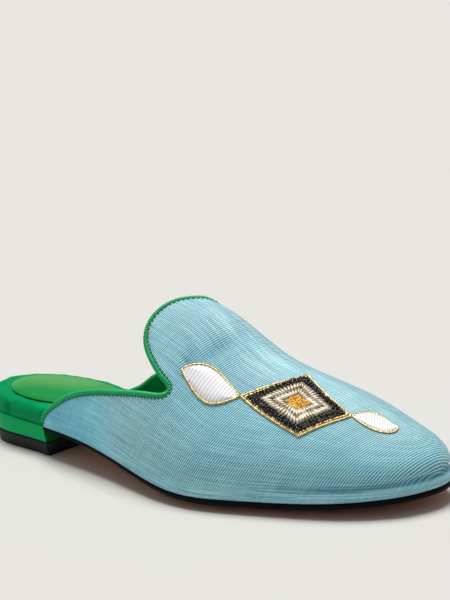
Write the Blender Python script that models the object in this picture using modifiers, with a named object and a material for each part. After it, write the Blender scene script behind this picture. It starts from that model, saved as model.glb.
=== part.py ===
"""A slip-on mule: a high-vamp fabric upper, a bound collar, a wrapped footbed and a low covered heel.

Right shoe, in metres. +X runs from heel to toe, +Y to the medial side, +Z up.
"""

import math

import bmesh
import bpy
import numpy as np
from mathutils import Vector

# The two sides of a right shoe, as signs of Y
LATERAL, MEDIAL = -1, 1

# Driving sizes of the last
SHOE_LENGTH = 0.2515
LATERAL_WIDTH = 0.0436
MEDIAL_WIDTH = 0.0400
SEAT_HEIGHT = 0.0139
BALL_HEIGHT = 0.0054
TOE_HEIGHT = 0.0084
INSTEP_HEIGHT = 0.0840
TOE_LAG = 0.020
SIDE_SWELL = 0.0016

# Thicknesses and fits
UPPER_WALL = 0.0018
FIT_GAP = 0.0003
OUTSOLE_THICKNESS = 0.0022
WAIST_THICKNESS = 0.0013
SOLE_MARGIN = 0.0005
TREAD_INSET = 0.0110
TREAD_BEVEL = 0.0012
EDGE_BREAK = 0.0004
BINDING_RADIUS = 0.00105
BINDING_GAP = 0.0004

# Heel and footbed
HEEL_LENGTH = 0.0515
HEEL_TAPER = 0.0017
TOP_PIECE_THICKNESS = 0.0060
FOOTBED_SEAT_THICKNESS = 0.0080
FOOTBED_TOE_THICKNESS = 0.0036
FOOTBED_EDGE_RADIUS = 0.0026
FOOTBED_CROWN = 0.0014
FOOTBED_SHOULDER = 0.0100
FOOTBED_NOTCH = 0.0030
FOOTBED_NOTCH_RUN = {LATERAL: 0.0020, MEDIAL: 0.0140}
PAD_LENGTH = 0.066
PAD_WIDTH = 0.034
PAD_THICKNESS = 0.0014
PAD_START = 0.010
PAD_OFFSET = 0.0005
PAD_FLARE = 0.10

# How far each slab's middle line stops short of the rounded ends
TOE_SETBACK = 0.020
HEEL_SETBACK = 0.016

# Raised motif on the vamp: place of its middle, turn of its long axis and sizes of its three shapes
MOTIF_SHARE = 0.762
MOTIF_AROUND = 0.780
MOTIF_TURN = 17.0
MOTIF_EDGE = 0.0006
MOTIF_RISE = 0.0007
LOZENGE_LENGTH = 0.050
LOZENGE_WIDTH = 0.038
LEAF_LENGTH = 0.025
LEAF_WIDTH = 0.0135
LEAF_GAP = 0.0010
LEAF_DISTANCE = LOZENGE_LENGTH / 2 + LEAF_GAP + LEAF_LENGTH / 2

# Mesh fineness
SIDE_STEPS = 38
STRAND_ROWS = 13
COLLAR_STEPS = 38
SPINE_STEPS = 16
HEEL_STEPS = 16

# Sole outline: along is a share of SHOE_LENGTH, lateral and medial are shares of the two widths
OUTLINE = (
    # along, lateral, medial
    (0.000, -0.030, 0.033),
    (0.020, 0.298, 0.375),
    (0.063, 0.431, 0.550),
    (0.139, 0.491, 0.630),
    (0.230, 0.569, 0.615),
    (0.325, 0.663, 0.565),
    (0.421, 0.780, 0.580),
    (0.508, 0.908, 0.690),
    (0.587, 0.995, 0.835),
    (0.659, 0.991, 0.945),
    (0.730, 0.885, 1.000),
    (0.802, 0.748, 0.995),
    (0.865, 0.606, 0.945),
    (0.915, 0.455, 0.860),
    (0.948, 0.310, 0.775),
    (0.980, 0.100, 0.620),
    (0.994, -0.080, 0.480),
    (1.000, -0.260, 0.283),
)

# Height of the seam between upper and sole: along is a share of SHOE_LENGTH,
# seat, ball and toe are the weights of the three heights there
SEAM_RISE = (
    # along, seat, ball, toe
    (0.000, 1.10, 0.00, 0.00),
    (0.204, 1.00, 0.00, 0.00),
    (0.317, 0.90, 0.10, 0.00),
    (0.417, 0.62, 0.38, 0.00),
    (0.516, 0.28, 0.72, 0.00),
    (0.615, 0.00, 1.02, 0.00),
    (0.714, 0.00, 1.00, 0.00),
    (0.813, 0.00, 0.88, 0.12),
    (0.913, 0.00, 0.52, 0.48),
    (1.000, 0.00, 0.00, 1.00),
)

# Outsole at shares of the length: how far it is thinned to the waist's thickness, how far its tread is crowned
WAIST_THINNING = ((0.20, 1.0), (0.42, 1.0), (0.62, 0.0), (1.00, 0.0))
TREAD_CROWN = ((0.45, 0.2), (0.60, 1.0), (0.80, 1.0), (1.00, 0.3))

# Ridge of the last and the fullness of the section that hangs from it
RIDGE = (
    # along, height, sideways, rise, crown
    (0.150, 1.050, 0.060, 0.46, 0.50),
    (0.330, 1.000, 0.120, 0.45, 0.52),
    (0.430, 0.940, 0.160, 0.43, 0.58),
    (0.500, 0.896, 0.180, 0.42, 0.60),
    (0.570, 0.822, 0.190, 0.40, 0.62),
    (0.650, 0.656, 0.200, 0.38, 0.72),
    (0.730, 0.561, 0.220, 0.39, 0.80),
    (0.810, 0.487, 0.250, 0.43, 0.89),
    (0.870, 0.415, 0.275, 0.48, 0.95),
    (0.920, 0.365, 0.290, 0.52, 1.00),
)

# Shares of the length between which the sections turn to fan round the toe
FAN_START, FAN_END = 0.60, 0.96

# Collar line on the last: share is the share of the way along that side's outline where the section
# through the point stands, around the share of the way from seam to ridge, and root the share of the
# way along the outline where the strand that ends at the point leaves the seam
COLLAR_LATERAL = (
    # share, around, root
    (0.222, 0.012, 0.222),
    (0.228, 0.040, 0.229),
    (0.240, 0.072, 0.243),
    (0.259, 0.106, 0.264),
    (0.287, 0.152, 0.295),
    (0.331, 0.208, 0.342),
    (0.385, 0.263, 0.398),
    (0.439, 0.316, 0.455),
    (0.492, 0.366, 0.510),
    (0.528, 0.402, 0.555),
    (0.546, 0.440, 0.588),
    (0.552, 0.480, 0.612),
    (0.544, 0.506, 0.630),
    (0.524, 0.518, 0.646),
    (0.496, 0.552, 0.662),
    (0.474, 0.598, 0.678),
    (0.463, 0.655, 0.694),
    (0.461, 0.725, 0.710),
    (0.467, 0.810, 0.726),
    (0.480, 0.905, 0.742),
    (0.500, 1.000, 0.757),
)
COLLAR_MEDIAL = (
    # share, around, root
    (0.246, 0.012, 0.246),
    (0.255, 0.032, 0.256),
    (0.271, 0.054, 0.274),
    (0.294, 0.084, 0.299),
    (0.321, 0.136, 0.329),
    (0.357, 0.195, 0.368),
    (0.402, 0.250, 0.415),
    (0.453, 0.310, 0.468),
    (0.508, 0.366, 0.524),
    (0.545, 0.402, 0.566),
    (0.564, 0.440, 0.595),
    (0.571, 0.480, 0.618),
    (0.566, 0.508, 0.636),
    (0.551, 0.522, 0.652),
    (0.536, 0.556, 0.667),
    (0.528, 0.602, 0.682),
    (0.525, 0.660, 0.697),
    (0.523, 0.730, 0.712),
    (0.5195, 0.815, 0.727),
    (0.512, 0.905, 0.742),
    (0.500, 1.000, 0.757),
)
# A strand to the collar's front runs up before it leans back to its end, one to the ridge leans all along:
# the shares of the way round between which the first kind turns into the second
STRAND_BEND_FADE = (0.50, 1.00)

COLLARS = {LATERAL: COLLAR_LATERAL, MEDIAL: COLLAR_MEDIAL}


def spline(knots, values, at, closed=False):
    """Cubic spline through values at knots, natural at its ends or periodic, sampled at the points given."""
    knots, values, at = (np.asarray(a, float) for a in (knots, values, at))
    n = len(knots)
    step = np.diff(knots)
    system, right = np.zeros((n, n)), np.zeros(n)
    for i in range(1, n - 1):
        system[i, i - 1 : i + 2] = step[i - 1], 2 * (step[i - 1] + step[i]), step[i]
        right[i] = 6 * ((values[i + 1] - values[i]) / step[i] - (values[i] - values[i - 1]) / step[i - 1])
    if closed:
        system[0, 0], system[0, -1] = 1, -1
        system[-1, 0], system[-1, 1] = 2 * step[0], step[0]
        system[-1, -1], system[-1, -2] = 2 * step[-1], step[-1]
        right[-1] = 6 * ((values[1] - values[0]) / step[0] - (values[-1] - values[-2]) / step[-1])
    else:
        system[0, 0] = system[-1, -1] = 1
    bend = np.linalg.solve(system, right)
    i = np.clip(np.searchsorted(knots, at, side="right") - 1, 0, n - 2)
    h, a, b = step[i], knots[i + 1] - at, at - knots[i]
    curved = bend[i] * a**3 / (6 * h) + bend[i + 1] * b**3 / (6 * h)
    return curved + (values[i] / h - bend[i] * h / 6) * a + (values[i + 1] / h - bend[i + 1] * h / 6) * b


def column(table, index):
    """One column of a table as an array."""
    return np.array([row[index] for row in table], float)


def traced_outline():
    """The sole's closed outline as two point lists, lateral and medial, each from heel back to toe tip."""
    along, lateral, medial = (column(OUTLINE, k) for k in range(3))
    near = np.column_stack([along * SHOE_LENGTH, -lateral * LATERAL_WIDTH])
    far = np.column_stack([along * SHOE_LENGTH, medial * MEDIAL_WIDTH])
    loop = np.vstack([near, far[-2:0:-1], near[:1]])
    knots = np.concatenate([[0], np.cumsum(np.hypot(*np.diff(loop, axis=0).T))])
    fine = np.linspace(0, knots[-1], 1600)
    points = np.column_stack([spline(knots, loop[:, k], fine, closed=True) for k in range(2)])[:-1]
    points = np.roll(points, -int(np.argmin(points[:, 0])), axis=0)
    tip = int(np.argmax(points[:, 0]))
    one, other = points[: tip + 1], np.vstack([points[tip:], points[:1]])[::-1]
    return {LATERAL: one, MEDIAL: other}


SIDES = traced_outline()
TRAVEL = {
    side: np.concatenate([[0], np.cumsum(np.hypot(*np.diff(points, axis=0).T))])
    for side, points in SIDES.items()
}


def outline(side, share):
    """Point of the outline at a share of the way from heel back to toe tip."""
    at = np.asarray(share, float) * TRAVEL[side][-1]
    return np.column_stack([np.interp(at, TRAVEL[side], SIDES[side][:, k]) for k in range(2)])


def share_at(side, along):
    """The share of the way at which the outline passes that share of the shoe's length."""
    shares = TRAVEL[side] / TRAVEL[side][-1]
    return np.interp(np.asarray(along, float) * SHOE_LENGTH, SIDES[side][:, 0], shares)


def seam_height(x):
    """Height of the seam between upper and sole at a distance from the heel back."""
    along, seat, ball, toe = (column(SEAM_RISE, k) for k in range(4))
    height = seat * SEAT_HEIGHT + ball * BALL_HEIGHT + toe * TOE_HEIGHT
    return spline(along * SHOE_LENGTH, height, np.clip(x, 0, SHOE_LENGTH))


def ridge(x):
    """Height, sideways place, rise, crown and slope of the last's ridge at a distance from the heel back."""
    along = column(RIDGE, 0) * SHOE_LENGTH
    x = np.clip(x, along[0], along[-1])
    height, sideways, rise, crown = (spline(along, column(RIDGE, k), x) for k in range(1, 5))
    delta = SHOE_LENGTH / 500
    slope = (spline(along, column(RIDGE, 1), x + delta) - spline(along, column(RIDGE, 1), x - delta)) / (2 * delta)
    return height * INSTEP_HEIGHT, sideways * MEDIAL_WIDTH, rise, crown, slope * INSTEP_HEIGHT


def last_point(side, share, around):
    """Point of the upper's outer surface: a Bezier section from the seam at that share up to the ridge."""
    share, around = np.broadcast_arrays(np.asarray(share, float), np.asarray(around, float))
    foot = outline(side, share)
    mean_x = (outline(LATERAL, share)[:, 0] + outline(MEDIAL, share)[:, 0]) / 2
    fan = np.clip((mean_x / SHOE_LENGTH - FAN_START) / (FAN_END - FAN_START), 0, 1)
    top_x = mean_x - TOE_LAG * fan * fan * (3 - 2 * fan)
    height, sideways, rise, crown, slope = ridge(top_x)
    low = np.column_stack([foot, seam_height(foot[:, 0]) + FIT_GAP])
    top = np.column_stack([top_x, sideways, height])
    outward = low[:, :2] - top[:, :2]
    reach = np.linalg.norm(outward, axis=1)
    outward /= reach[:, None]
    swell = np.column_stack([outward * SIDE_SWELL, rise * (height - low[:, 2])])
    shoulder = np.column_stack([outward, slope * outward[:, 0]]) * (crown * reach)[:, None]
    t = around[:, None]
    return (
        (1 - t) ** 3 * low
        + 3 * (1 - t) ** 2 * t * (low + swell)
        + 3 * (1 - t) * t**2 * (top + shoulder)
        + t**3 * top
    )


def collar_path(side):
    """Shares and arounds of the points on the collar line, closer in its tight turn, and their strands' roots.

    Both sides' rows make one curve over the crest; around runs on past 1 on the other side.
    """
    own, other = COLLARS[side], COLLARS[-side][-2::-1]
    rows = np.arange(len(own) + len(other), dtype=float)
    fine = np.linspace(0, len(own) - 1, 600)
    share = spline(rows, np.append(column(own, 0), column(other, 0)), fine)
    around = spline(rows, np.append(column(own, 1), 2 - column(other, 1)), fine)
    root = spline(rows, np.append(column(own, 2), 2 * own[-1][2] - column(other, 2)), fine)
    points = last_point(side, share, around)
    travel = np.concatenate([[0], np.cumsum(np.linalg.norm(np.diff(points, axis=0), axis=1))])
    # the tables' rows lie closer in the turn, so half the spacing follows them
    pace = travel / travel[-1] + fine / fine[-1]
    at = np.interp(np.linspace(0, pace[-1], COLLAR_STEPS + 1), pace, fine)
    return (np.interp(at, fine, values) for values in (share, around, root))


def upper_strands(side):
    """Grid of points over one side of the upper: each strand runs from the seam up to the collar or the spine."""
    head_share, head_around, root = collar_path(side)
    forward = np.linspace(0, 1, SPINE_STEPS + 1)[1:]
    root = np.concatenate([root, root[-1] + (1 - root[-1]) * forward])
    head_share = np.concatenate([head_share, head_share[-1] + (1 - head_share[-1]) * forward])
    head_around = np.concatenate([head_around, np.ones(SPINE_STEPS)])
    bend = 1 - 0.5 * np.interp(head_around, STRAND_BEND_FADE, (0, 1))
    grid = []
    for q in np.linspace(0, 1, STRAND_ROWS + 1):
        lean = q**2 + (2 * bend - 1) * (q**3 - q**2)
        share = root * (1 - lean) + head_share * lean
        around = head_around * (2 * q * (1 - q) * bend + q**2)
        grid.append(last_point(side, share, around))
    return np.array(grid)


def new_object(name, mesh, colour, roughness, metallic=0.0):
    """A part with its own material, in the shoe's collection."""
    part = bpy.data.objects.new(name, mesh)
    SHOE.objects.link(part)
    part.parent = STAND
    material = bpy.data.materials.new(name)
    material.use_nodes = True
    shader = material.node_tree.nodes["Principled BSDF"]
    shader.inputs["Base Color"].default_value = (*colour, 1)
    shader.inputs["Roughness"].default_value = roughness
    shader.inputs["Metallic"].default_value = metallic
    part.data.materials.append(material)
    return part


def smooth(mesh, sharp_degrees=40):
    """Smooth shading, with sharp edges where faces meet at more than that angle."""
    mesh.shade_smooth()
    mesh.set_sharp_from_angle(angle=math.radians(sharp_degrees))


def make_upper():
    """Fabric upper with its lining: an open surface from seam to collar, thickened inwards."""
    shape = bmesh.new()
    grids = {side: upper_strands(side) for side in (LATERAL, MEDIAL)}
    rows, strands = grids[LATERAL].shape[:2]
    verts = {}
    for side, grid in grids.items():
        for k in range(rows):
            for i in range(strands):
                on_spine = k == rows - 1 and i >= COLLAR_STEPS
                if side == MEDIAL and (on_spine or i == strands - 1):
                    verts[side, k, i] = verts[LATERAL, k, i]
                else:
                    verts[side, k, i] = shape.verts.new(grid[k, i])
    for side in grids:
        for k in range(rows - 1):
            for i in range(strands - 1):
                corners = [verts[side, k, i], verts[side, k, i + 1], verts[side, k + 1, i + 1], verts[side, k + 1, i]]
                shape.faces.new(corners if side == LATERAL else corners[::-1])
    mesh = bpy.data.meshes.new("upper")
    shape.to_mesh(mesh)
    shape.free()
    upper = new_object("upper", mesh, (0.17, 0.42, 0.50), 0.75)
    wall = upper.modifiers.new("wall", "SOLIDIFY")
    wall.thickness = UPPER_WALL
    wall.offset = -1
    wall.use_even_offset = False
    smooth(mesh, 60)
    return upper


def last_normal(side, share, around):
    """Unit normal of the upper's outer surface, pointing out of the shoe."""
    nudge = 1e-3
    over = last_point(side, share, around) - last_point(side, share, around - nudge)
    ahead = last_point(side, share + nudge, around) - last_point(side, share - nudge, around)
    normal = np.cross(ahead, over) * -side
    return normal / np.linalg.norm(normal, axis=1)[:, None]


def make_binding():
    """Rolled leather binding that caps the collar's cut edge from one rear end to the other."""
    paths = []
    for side in (LATERAL, MEDIAL):
        share, around, _root = collar_path(side)
        edge = last_point(side, share, around)
        normal = last_normal(side, share, around)
        tangent = np.gradient(edge, axis=0)
        away = np.cross(tangent, normal) * side
        away /= np.linalg.norm(away, axis=1)[:, None]
        paths.append(edge - normal * UPPER_WALL / 2 + away * (BINDING_RADIUS + BINDING_GAP))
    lateral, medial = paths
    crest = (lateral[-1:] + medial[-1:]) / 2
    path = np.vstack([lateral[:-1], crest, medial[-2::-1]])
    curve = bpy.data.curves.new("collar_binding", "CURVE")
    curve.dimensions = "3D"
    curve.bevel_depth = BINDING_RADIUS
    curve.bevel_resolution = 2
    curve.use_fill_caps = True
    line = curve.splines.new("POLY")
    line.points.add(len(path) - 1)
    for point, place in zip(line.points, path):
        point.co = (*place, 1)
    return new_object("collar_binding", curve, (0.02, 0.38, 0.13), 0.45)


def plate(name, colour, roughness, shares, rings, edge_of, centre_of, blunt_start=False, blunt_end=False):
    """A closed pad: rings of points from the bottom's centre line, out round the edge and back to the top's.

    rings gives for each ring its distance in from the edge, None for the centre line, and its height at x, y.
    """
    count = len(shares)
    edges = {side: edge_of(side, shares) for side in (LATERAL, MEDIAL)}
    centre = centre_of(edges)
    shape = bmesh.new()
    verts = {}
    last = len(rings) - 1
    for side in (LATERAL, MEDIAL):
        for i in range(count):
            tip = (i == 0 and not blunt_start) or (i == count - 1 and not blunt_end)
            inward = centre[i] - edges[side][i]
            reach = max(np.linalg.norm(inward), 1e-6)
            for k, (inset, height) in enumerate(rings):
                if side == MEDIAL and (tip or k in (0, last)):
                    verts[side, k, i] = verts[LATERAL, k, i]
                    continue
                part = 1.0 if inset is None else min(inset / reach, 0.9)
                place = edges[side][i] + inward * part
                verts[side, k, i] = shape.verts.new((*place, height(*place)))
    for side in (LATERAL, MEDIAL):
        for k in range(last):
            for i in range(count - 1):
                corners = [verts[side, k, i], verts[side, k, i + 1], verts[side, k + 1, i + 1], verts[side, k + 1, i]]
                shape.faces.new(corners if side == LATERAL else corners[::-1])
    for blunt, i in ((blunt_start, 0), (blunt_end, count - 1)):
        if blunt:
            loop = [verts[LATERAL, k, i] for k in range(last + 1)] + [
                verts[MEDIAL, k, i] for k in range(last - 1, 0, -1)
            ]
            shape.faces.new(loop)
    bmesh.ops.recalc_face_normals(shape, faces=shape.faces)
    mesh = bpy.data.meshes.new(name)
    shape.to_mesh(mesh)
    shape.free()
    smooth(mesh)
    return new_object(name, mesh, colour, roughness)


def steps_along(first, last, count, ease_start=0.6, ease_end=0.6):
    """Shares from first to last, closer together at the ends that are eased."""
    t = np.linspace(0, 1, count + 1)
    start = t - ease_start * np.sin(2 * math.pi * t) / (2 * math.pi)
    end = t - ease_end * np.sin(2 * math.pi * t) / (2 * math.pi)
    blend = start * (1 - t) + end * t
    return first + (last - first) * blend


def inset_outline(distance):
    """The outline moved inwards by a distance that may change along the shoe."""

    def edge(side, shares):
        points = outline(side, shares)
        nudge = 2e-3
        ahead = outline(side, np.clip(shares + nudge, 0, 1)) - outline(side, np.clip(shares - nudge, 0, 1))
        ahead[0] = (0, side) if shares[0] == 0 else ahead[0]
        ahead[-1] = (0, -side) if shares[-1] == 1 else ahead[-1]
        ahead /= np.linalg.norm(ahead, axis=1)[:, None]
        inward = np.column_stack([ahead[:, 1], -ahead[:, 0]]) * side
        return points + inward * distance(points[:, 0])[:, None]

    return edge


def lagging_centre(heel_lag, toe_lag):
    """A centre line half way between the sides that stops short of the rounded ends."""

    def centre(edges):
        middle = (edges[LATERAL] + edges[MEDIAL]) / 2
        x = middle[:, 0]
        toe = np.clip((x - 0.7 * SHOE_LENGTH) / (0.3 * SHOE_LENGTH), 0, 1)
        heel = np.clip((0.12 * SHOE_LENGTH - x) / (0.12 * SHOE_LENGTH), 0, 1)
        middle[:, 0] = x - toe_lag * toe**3 + heel_lag * heel**2
        return middle

    return centre


def sole_bottom(x):
    """Height of the outsole's lower edge: thinner at the waist than under the ball."""
    thinned = np.interp(x / SHOE_LENGTH, *zip(*WAIST_THINNING))
    return float(seam_height(x)) - OUTSOLE_THICKNESS + thinned * (OUTSOLE_THICKNESS - WAIST_THICKNESS)


def make_outsole():
    """Leather outsole from the heel's breast to the toe, its tread face crowned on a flat spot."""
    breast = HEEL_LENGTH + FIT_GAP
    starts = {side: float(share_at(side, breast / SHOE_LENGTH)) for side in (LATERAL, MEDIAL)}
    edge = inset_outline(lambda x: np.full_like(x, -SOLE_MARGIN))

    def edge_of(side, shares):
        points = edge(side, starts[side] + (1 - starts[side]) * shares)
        points[0, 0] = breast
        return points

    def top(x, y):
        return float(seam_height(x))

    def tread(x, y):
        crown = float(np.interp(x / SHOE_LENGTH, *zip(*TREAD_CROWN)))
        return max(0.0, sole_bottom(x) - crown * (BALL_HEIGHT - OUTSOLE_THICKNESS))

    rings = (
        (None, tread),
        (TREAD_INSET * 1.8, tread),
        (TREAD_INSET, tread),
        (TREAD_BEVEL, lambda x, y: sole_bottom(x) - EDGE_BREAK / 2),
        (0.0, lambda x, y: sole_bottom(x) + EDGE_BREAK),
        (0.0, lambda x, y: top(x, y) - EDGE_BREAK),
        (EDGE_BREAK, top),
        (None, top),
    )
    shares = steps_along(0, 1, SIDE_STEPS, 0.0, 0.75)
    centre_of = lagging_centre(0, TOE_SETBACK)
    return plate("outsole", (0.45, 0.25, 0.12), 0.5, shares, rings, edge_of, centre_of, blunt_start=True)


def make_heel():
    """Leather-covered heel block and the rubber top piece under it, both tapering to the ground."""
    heel_share = HEEL_LENGTH / SHOE_LENGTH
    ends = {side: float(share_at(side, heel_share)) for side in (LATERAL, MEDIAL)}
    edge = inset_outline(lambda x: np.zeros_like(x))

    def edge_of(side, shares):
        points = edge(side, ends[side] * shares)
        points[-1, 0] = HEEL_LENGTH
        return points

    def slab(name, colour, roughness, low, high, low_inset, high_inset):
        rings = (
            (None, low),
            (low_inset + EDGE_BREAK, low),
            (low_inset, lambda x, y: low(x, y) + EDGE_BREAK),
            (high_inset, lambda x, y: high(x, y) - EDGE_BREAK),
            (high_inset + EDGE_BREAK, high),
            (None, high),
        )
        shares = steps_along(0, 1, HEEL_STEPS, 0.5, 0.0)
        centre_of = lagging_centre(HEEL_SETBACK, 0)
        return plate(name, colour, roughness, shares, rings, edge_of, centre_of, blunt_end=True)

    def seat(x, y):
        return float(seam_height(x))

    def joint(x, y):
        return TOP_PIECE_THICKNESS

    split = HEEL_TAPER * (1 - TOP_PIECE_THICKNESS / SEAT_HEIGHT)
    slab("heel_block", (0.01, 0.33, 0.10), 0.35, lambda x, y: joint(x, y) + FIT_GAP, seat, split, 0.0)
    slab("heel_top_piece", (0.02, 0.02, 0.025), 0.5, lambda x, y: 0.0, joint, HEEL_TAPER, split)


def footbed_height(x, y):
    """Height of the footbed's top: thick and crowned at the seat, thin under the toes."""
    seat_end, thin_from = 0.30, 0.60
    blend = float(np.clip((x / SHOE_LENGTH - seat_end) / (thin_from - seat_end), 0, 1))
    blend = blend * blend * (3 - 2 * blend)
    thickness = FOOTBED_SEAT_THICKNESS * (1 - blend) + FOOTBED_TOE_THICKNESS * blend
    sides = [float(np.interp(x, SIDES[side][:, 0], SIDES[side][:, 1])) for side in (LATERAL, MEDIAL)]
    off_centre = 2 * (y - sum(sides) / 2) / max(sides[1] - sides[0], 0.01)
    crown = FOOTBED_CROWN * (1 - blend) * max(0.0, 1 - off_centre**2)
    return float(seam_height(x)) + thickness + crown


def make_footbed():
    """Padded footbed wrapped in leather: flush with the heel at the back, inside the upper further forward."""
    notch_end = {}
    for side in (LATERAL, MEDIAL):
        upper_start = outline(side, [COLLARS[side][0][0]])[0, 0]
        notch_end[side] = upper_start - 2 * BINDING_RADIUS - 4 * FIT_GAP

    def edge_of(side, shares):
        def pulled_in(x):
            run = FOOTBED_NOTCH_RUN[side]
            return FOOTBED_NOTCH * np.clip((x - notch_end[side] + run) / run, 0, 1)

        return inset_outline(pulled_in)(side, shares)

    shares = steps_along(0, 1, SIDE_STEPS, 0.6, 0.7)
    for side in (LATERAL, MEDIAL):
        for x in (notch_end[side] - FOOTBED_NOTCH_RUN[side], notch_end[side]):
            shares = np.append(shares, share_at(side, x / SHOE_LENGTH))
    shares = np.unique(shares)
    radius = FOOTBED_EDGE_RADIUS

    def low(x, y):
        return float(seam_height(x)) + FIT_GAP

    def corner(turn):
        angle = math.radians(turn)
        drop = radius * (1 - math.sin(angle))
        return radius * (1 - math.cos(angle)), lambda x, y: footbed_height(x, y) - drop

    rings = (
        (None, low),
        (EDGE_BREAK, low),
        (0.0, lambda x, y: low(x, y) + EDGE_BREAK),
        corner(0),
        corner(35),
        corner(65),
        (radius * 1.3, footbed_height),
        (FOOTBED_SHOULDER, footbed_height),
        (None, footbed_height),
    )
    centre_of = lagging_centre(HEEL_SETBACK, TOE_SETBACK)
    return plate("footbed", (0.01, 0.25, 0.08), 0.45, shares, rings, edge_of, centre_of)


def make_sock_pad():
    """Smooth oval pad stuck on the footbed's seat."""
    turns = np.linspace(0, 2 * math.pi, 40, endpoint=False)
    centre_x = PAD_START + PAD_LENGTH / 2
    levels = (
        # reach, lift
        (0.96, 0.0),
        (1.00, 0.3),
        (0.97, 0.8),
        (0.88, 1.0),
        (0.50, 1.0),
    )
    shape = bmesh.new()
    loops = []
    for reach, lift in levels:
        loop = []
        for turn in turns:
            # a heel-shaped oval: a little wider behind its middle than in front
            x = centre_x - math.cos(turn) * reach * PAD_LENGTH / 2
            width = 1 + PAD_FLARE * math.cos(turn)
            y = PAD_OFFSET + math.sin(turn) * reach * width * PAD_WIDTH / 2
            loop.append(shape.verts.new((x, y, footbed_height(x, y) + FIT_GAP + lift * PAD_THICKNESS)))
        loops.append(loop)
    count = len(turns)
    for below, above in zip(loops, loops[1:]):
        for i in range(count):
            j = (i + 1) % count
            shape.faces.new([below[i], below[j], above[j], above[i]])
    for loop, lift in ((loops[0], 0.0), (loops[-1], 1.0)):
        z = footbed_height(centre_x, 0) + FIT_GAP + lift * PAD_THICKNESS
        middle = shape.verts.new((centre_x, 0, z))
        for i in range(count):
            shape.faces.new([loop[i], loop[(i + 1) % count], middle])
    bmesh.ops.recalc_face_normals(shape, faces=shape.faces)
    mesh = bpy.data.meshes.new("sock_pad")
    shape.to_mesh(mesh)
    shape.free()
    smooth(mesh)
    return new_object("sock_pad", mesh, (0.05, 0.42, 0.10), 0.4)


def vamp_point(along, across, lift):
    """Point above the vamp at flat distances from the motif's middle, its chart laid on the upper's surface."""
    share, around = np.full(1, MOTIF_SHARE), np.full(1, MOTIF_AROUND)
    nudge = 5e-3
    here = last_point(LATERAL, share, around)
    share_length = np.linalg.norm(last_point(LATERAL, share + nudge, around) - here) / nudge
    around_length = np.linalg.norm(last_point(LATERAL, share, around + nudge) - here) / nudge
    turn = math.radians(MOTIF_TURN)
    forward = along * math.cos(turn) - across * math.sin(turn)
    upward = along * math.sin(turn) + across * math.cos(turn)
    share = np.full(1, MOTIF_SHARE + forward / share_length)
    around = np.full(1, MOTIF_AROUND + upward / around_length)
    side = LATERAL if around[0] <= 1 else MEDIAL
    around = around if side == LATERAL else 2 - around
    return (last_point(side, share, around) + lift * last_normal(side, share, around))[0]


def vamp_patch(name, colour, columns, rows, flat_place):
    """A low raised shape on the vamp; flat_place turns two shares of the way across it into flat distances."""
    shape = bmesh.new()
    verts = {}
    for level in ("under", "over"):
        for i in range(columns + 1):
            for j in range(rows + 1):
                p, q = i / columns, j / rows
                along, across = flat_place(p, q)
                swell = 1 - max(abs(2 * p - 1), abs(2 * q - 1)) ** 4
                lift = FIT_GAP if level == "under" else FIT_GAP + MOTIF_EDGE + MOTIF_RISE * swell
                verts[level, i, j] = shape.verts.new(vamp_point(along, across, lift))
    for level in ("under", "over"):
        for i in range(columns):
            for j in range(rows):
                cell = [(i, j), (i + 1, j), (i + 1, j + 1), (i, j + 1)]
                shape.faces.new([verts[level, *c] for c in cell])
    rim = [(i, 0) for i in range(columns)] + [(columns, j) for j in range(rows)]
    rim += [(i, rows) for i in range(columns, 0, -1)] + [(0, j) for j in range(rows, 0, -1)]
    for c, d in zip(rim, rim[1:] + rim[:1]):
        shape.faces.new([verts["under", *c], verts["under", *d], verts["over", *d], verts["over", *c]])
    bmesh.ops.recalc_face_normals(shape, faces=shape.faces)
    mesh = bpy.data.meshes.new(name)
    shape.to_mesh(mesh)
    shape.free()
    smooth(mesh)
    return new_object(name, mesh, colour, 0.5)


def make_motif():
    """Three raised embroidered shapes in a row on the vamp: a lozenge between two leaves."""

    def lozenge(p, q):
        return (p - q) * LOZENGE_LENGTH / 2, (p + q - 1) * LOZENGE_WIDTH / 2

    def leaf(shift):
        def place(p, q):
            blunt = 0.06
            half = LEAF_WIDTH / 2 * (blunt + (1 - blunt) * math.sin(math.pi * p))
            return shift + (p - 0.5) * LEAF_LENGTH, (2 * q - 1) * half

        return place

    vamp_patch("motif_lozenge", (0.75, 0.55, 0.20), 12, 12, lozenge)
    vamp_patch("motif_leaf_rear", (0.85, 0.85, 0.85), 12, 4, leaf(-LEAF_DISTANCE))
    vamp_patch("motif_leaf_front", (0.85, 0.85, 0.85), 12, 4, leaf(LEAF_DISTANCE))


def clear_scene():
    """Removes whatever the scene starts with."""
    for thing in list(bpy.data.objects):
        bpy.data.objects.remove(thing, do_unlink=True)


def stand_on_origin():
    """Moves the shoe so that the centre of its box's bottom face is the world's origin."""
    graph = bpy.context.evaluated_depsgraph_get()
    corners = []
    for part in SHOE.objects:
        if part.type != "EMPTY":
            solid = part.evaluated_get(graph)
            corners += [vertex.co.copy() for vertex in solid.to_mesh().vertices]
            solid.to_mesh_clear()
    low, high = (Vector(map(pick, zip(*corners))) for pick in (min, max))
    STAND.location = (-(low.x + high.x) / 2, -(low.y + high.y) / 2, -low.z)


clear_scene()
SHOE = bpy.data.collections.new("mule")
bpy.context.scene.collection.children.link(SHOE)
STAND = bpy.data.objects.new("stand", None)
SHOE.objects.link(STAND)
make_heel()
make_outsole()
make_footbed()
make_sock_pad()
make_upper()
make_binding()
make_motif()
stand_on_origin()
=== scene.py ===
"""Looks of a slip-on mule: ribbed fabric over green leather, beadwork on the vamp, a low covered heel."""

import math

import bpy
import numpy as np
from mathutils import Matrix, Vector


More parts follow.
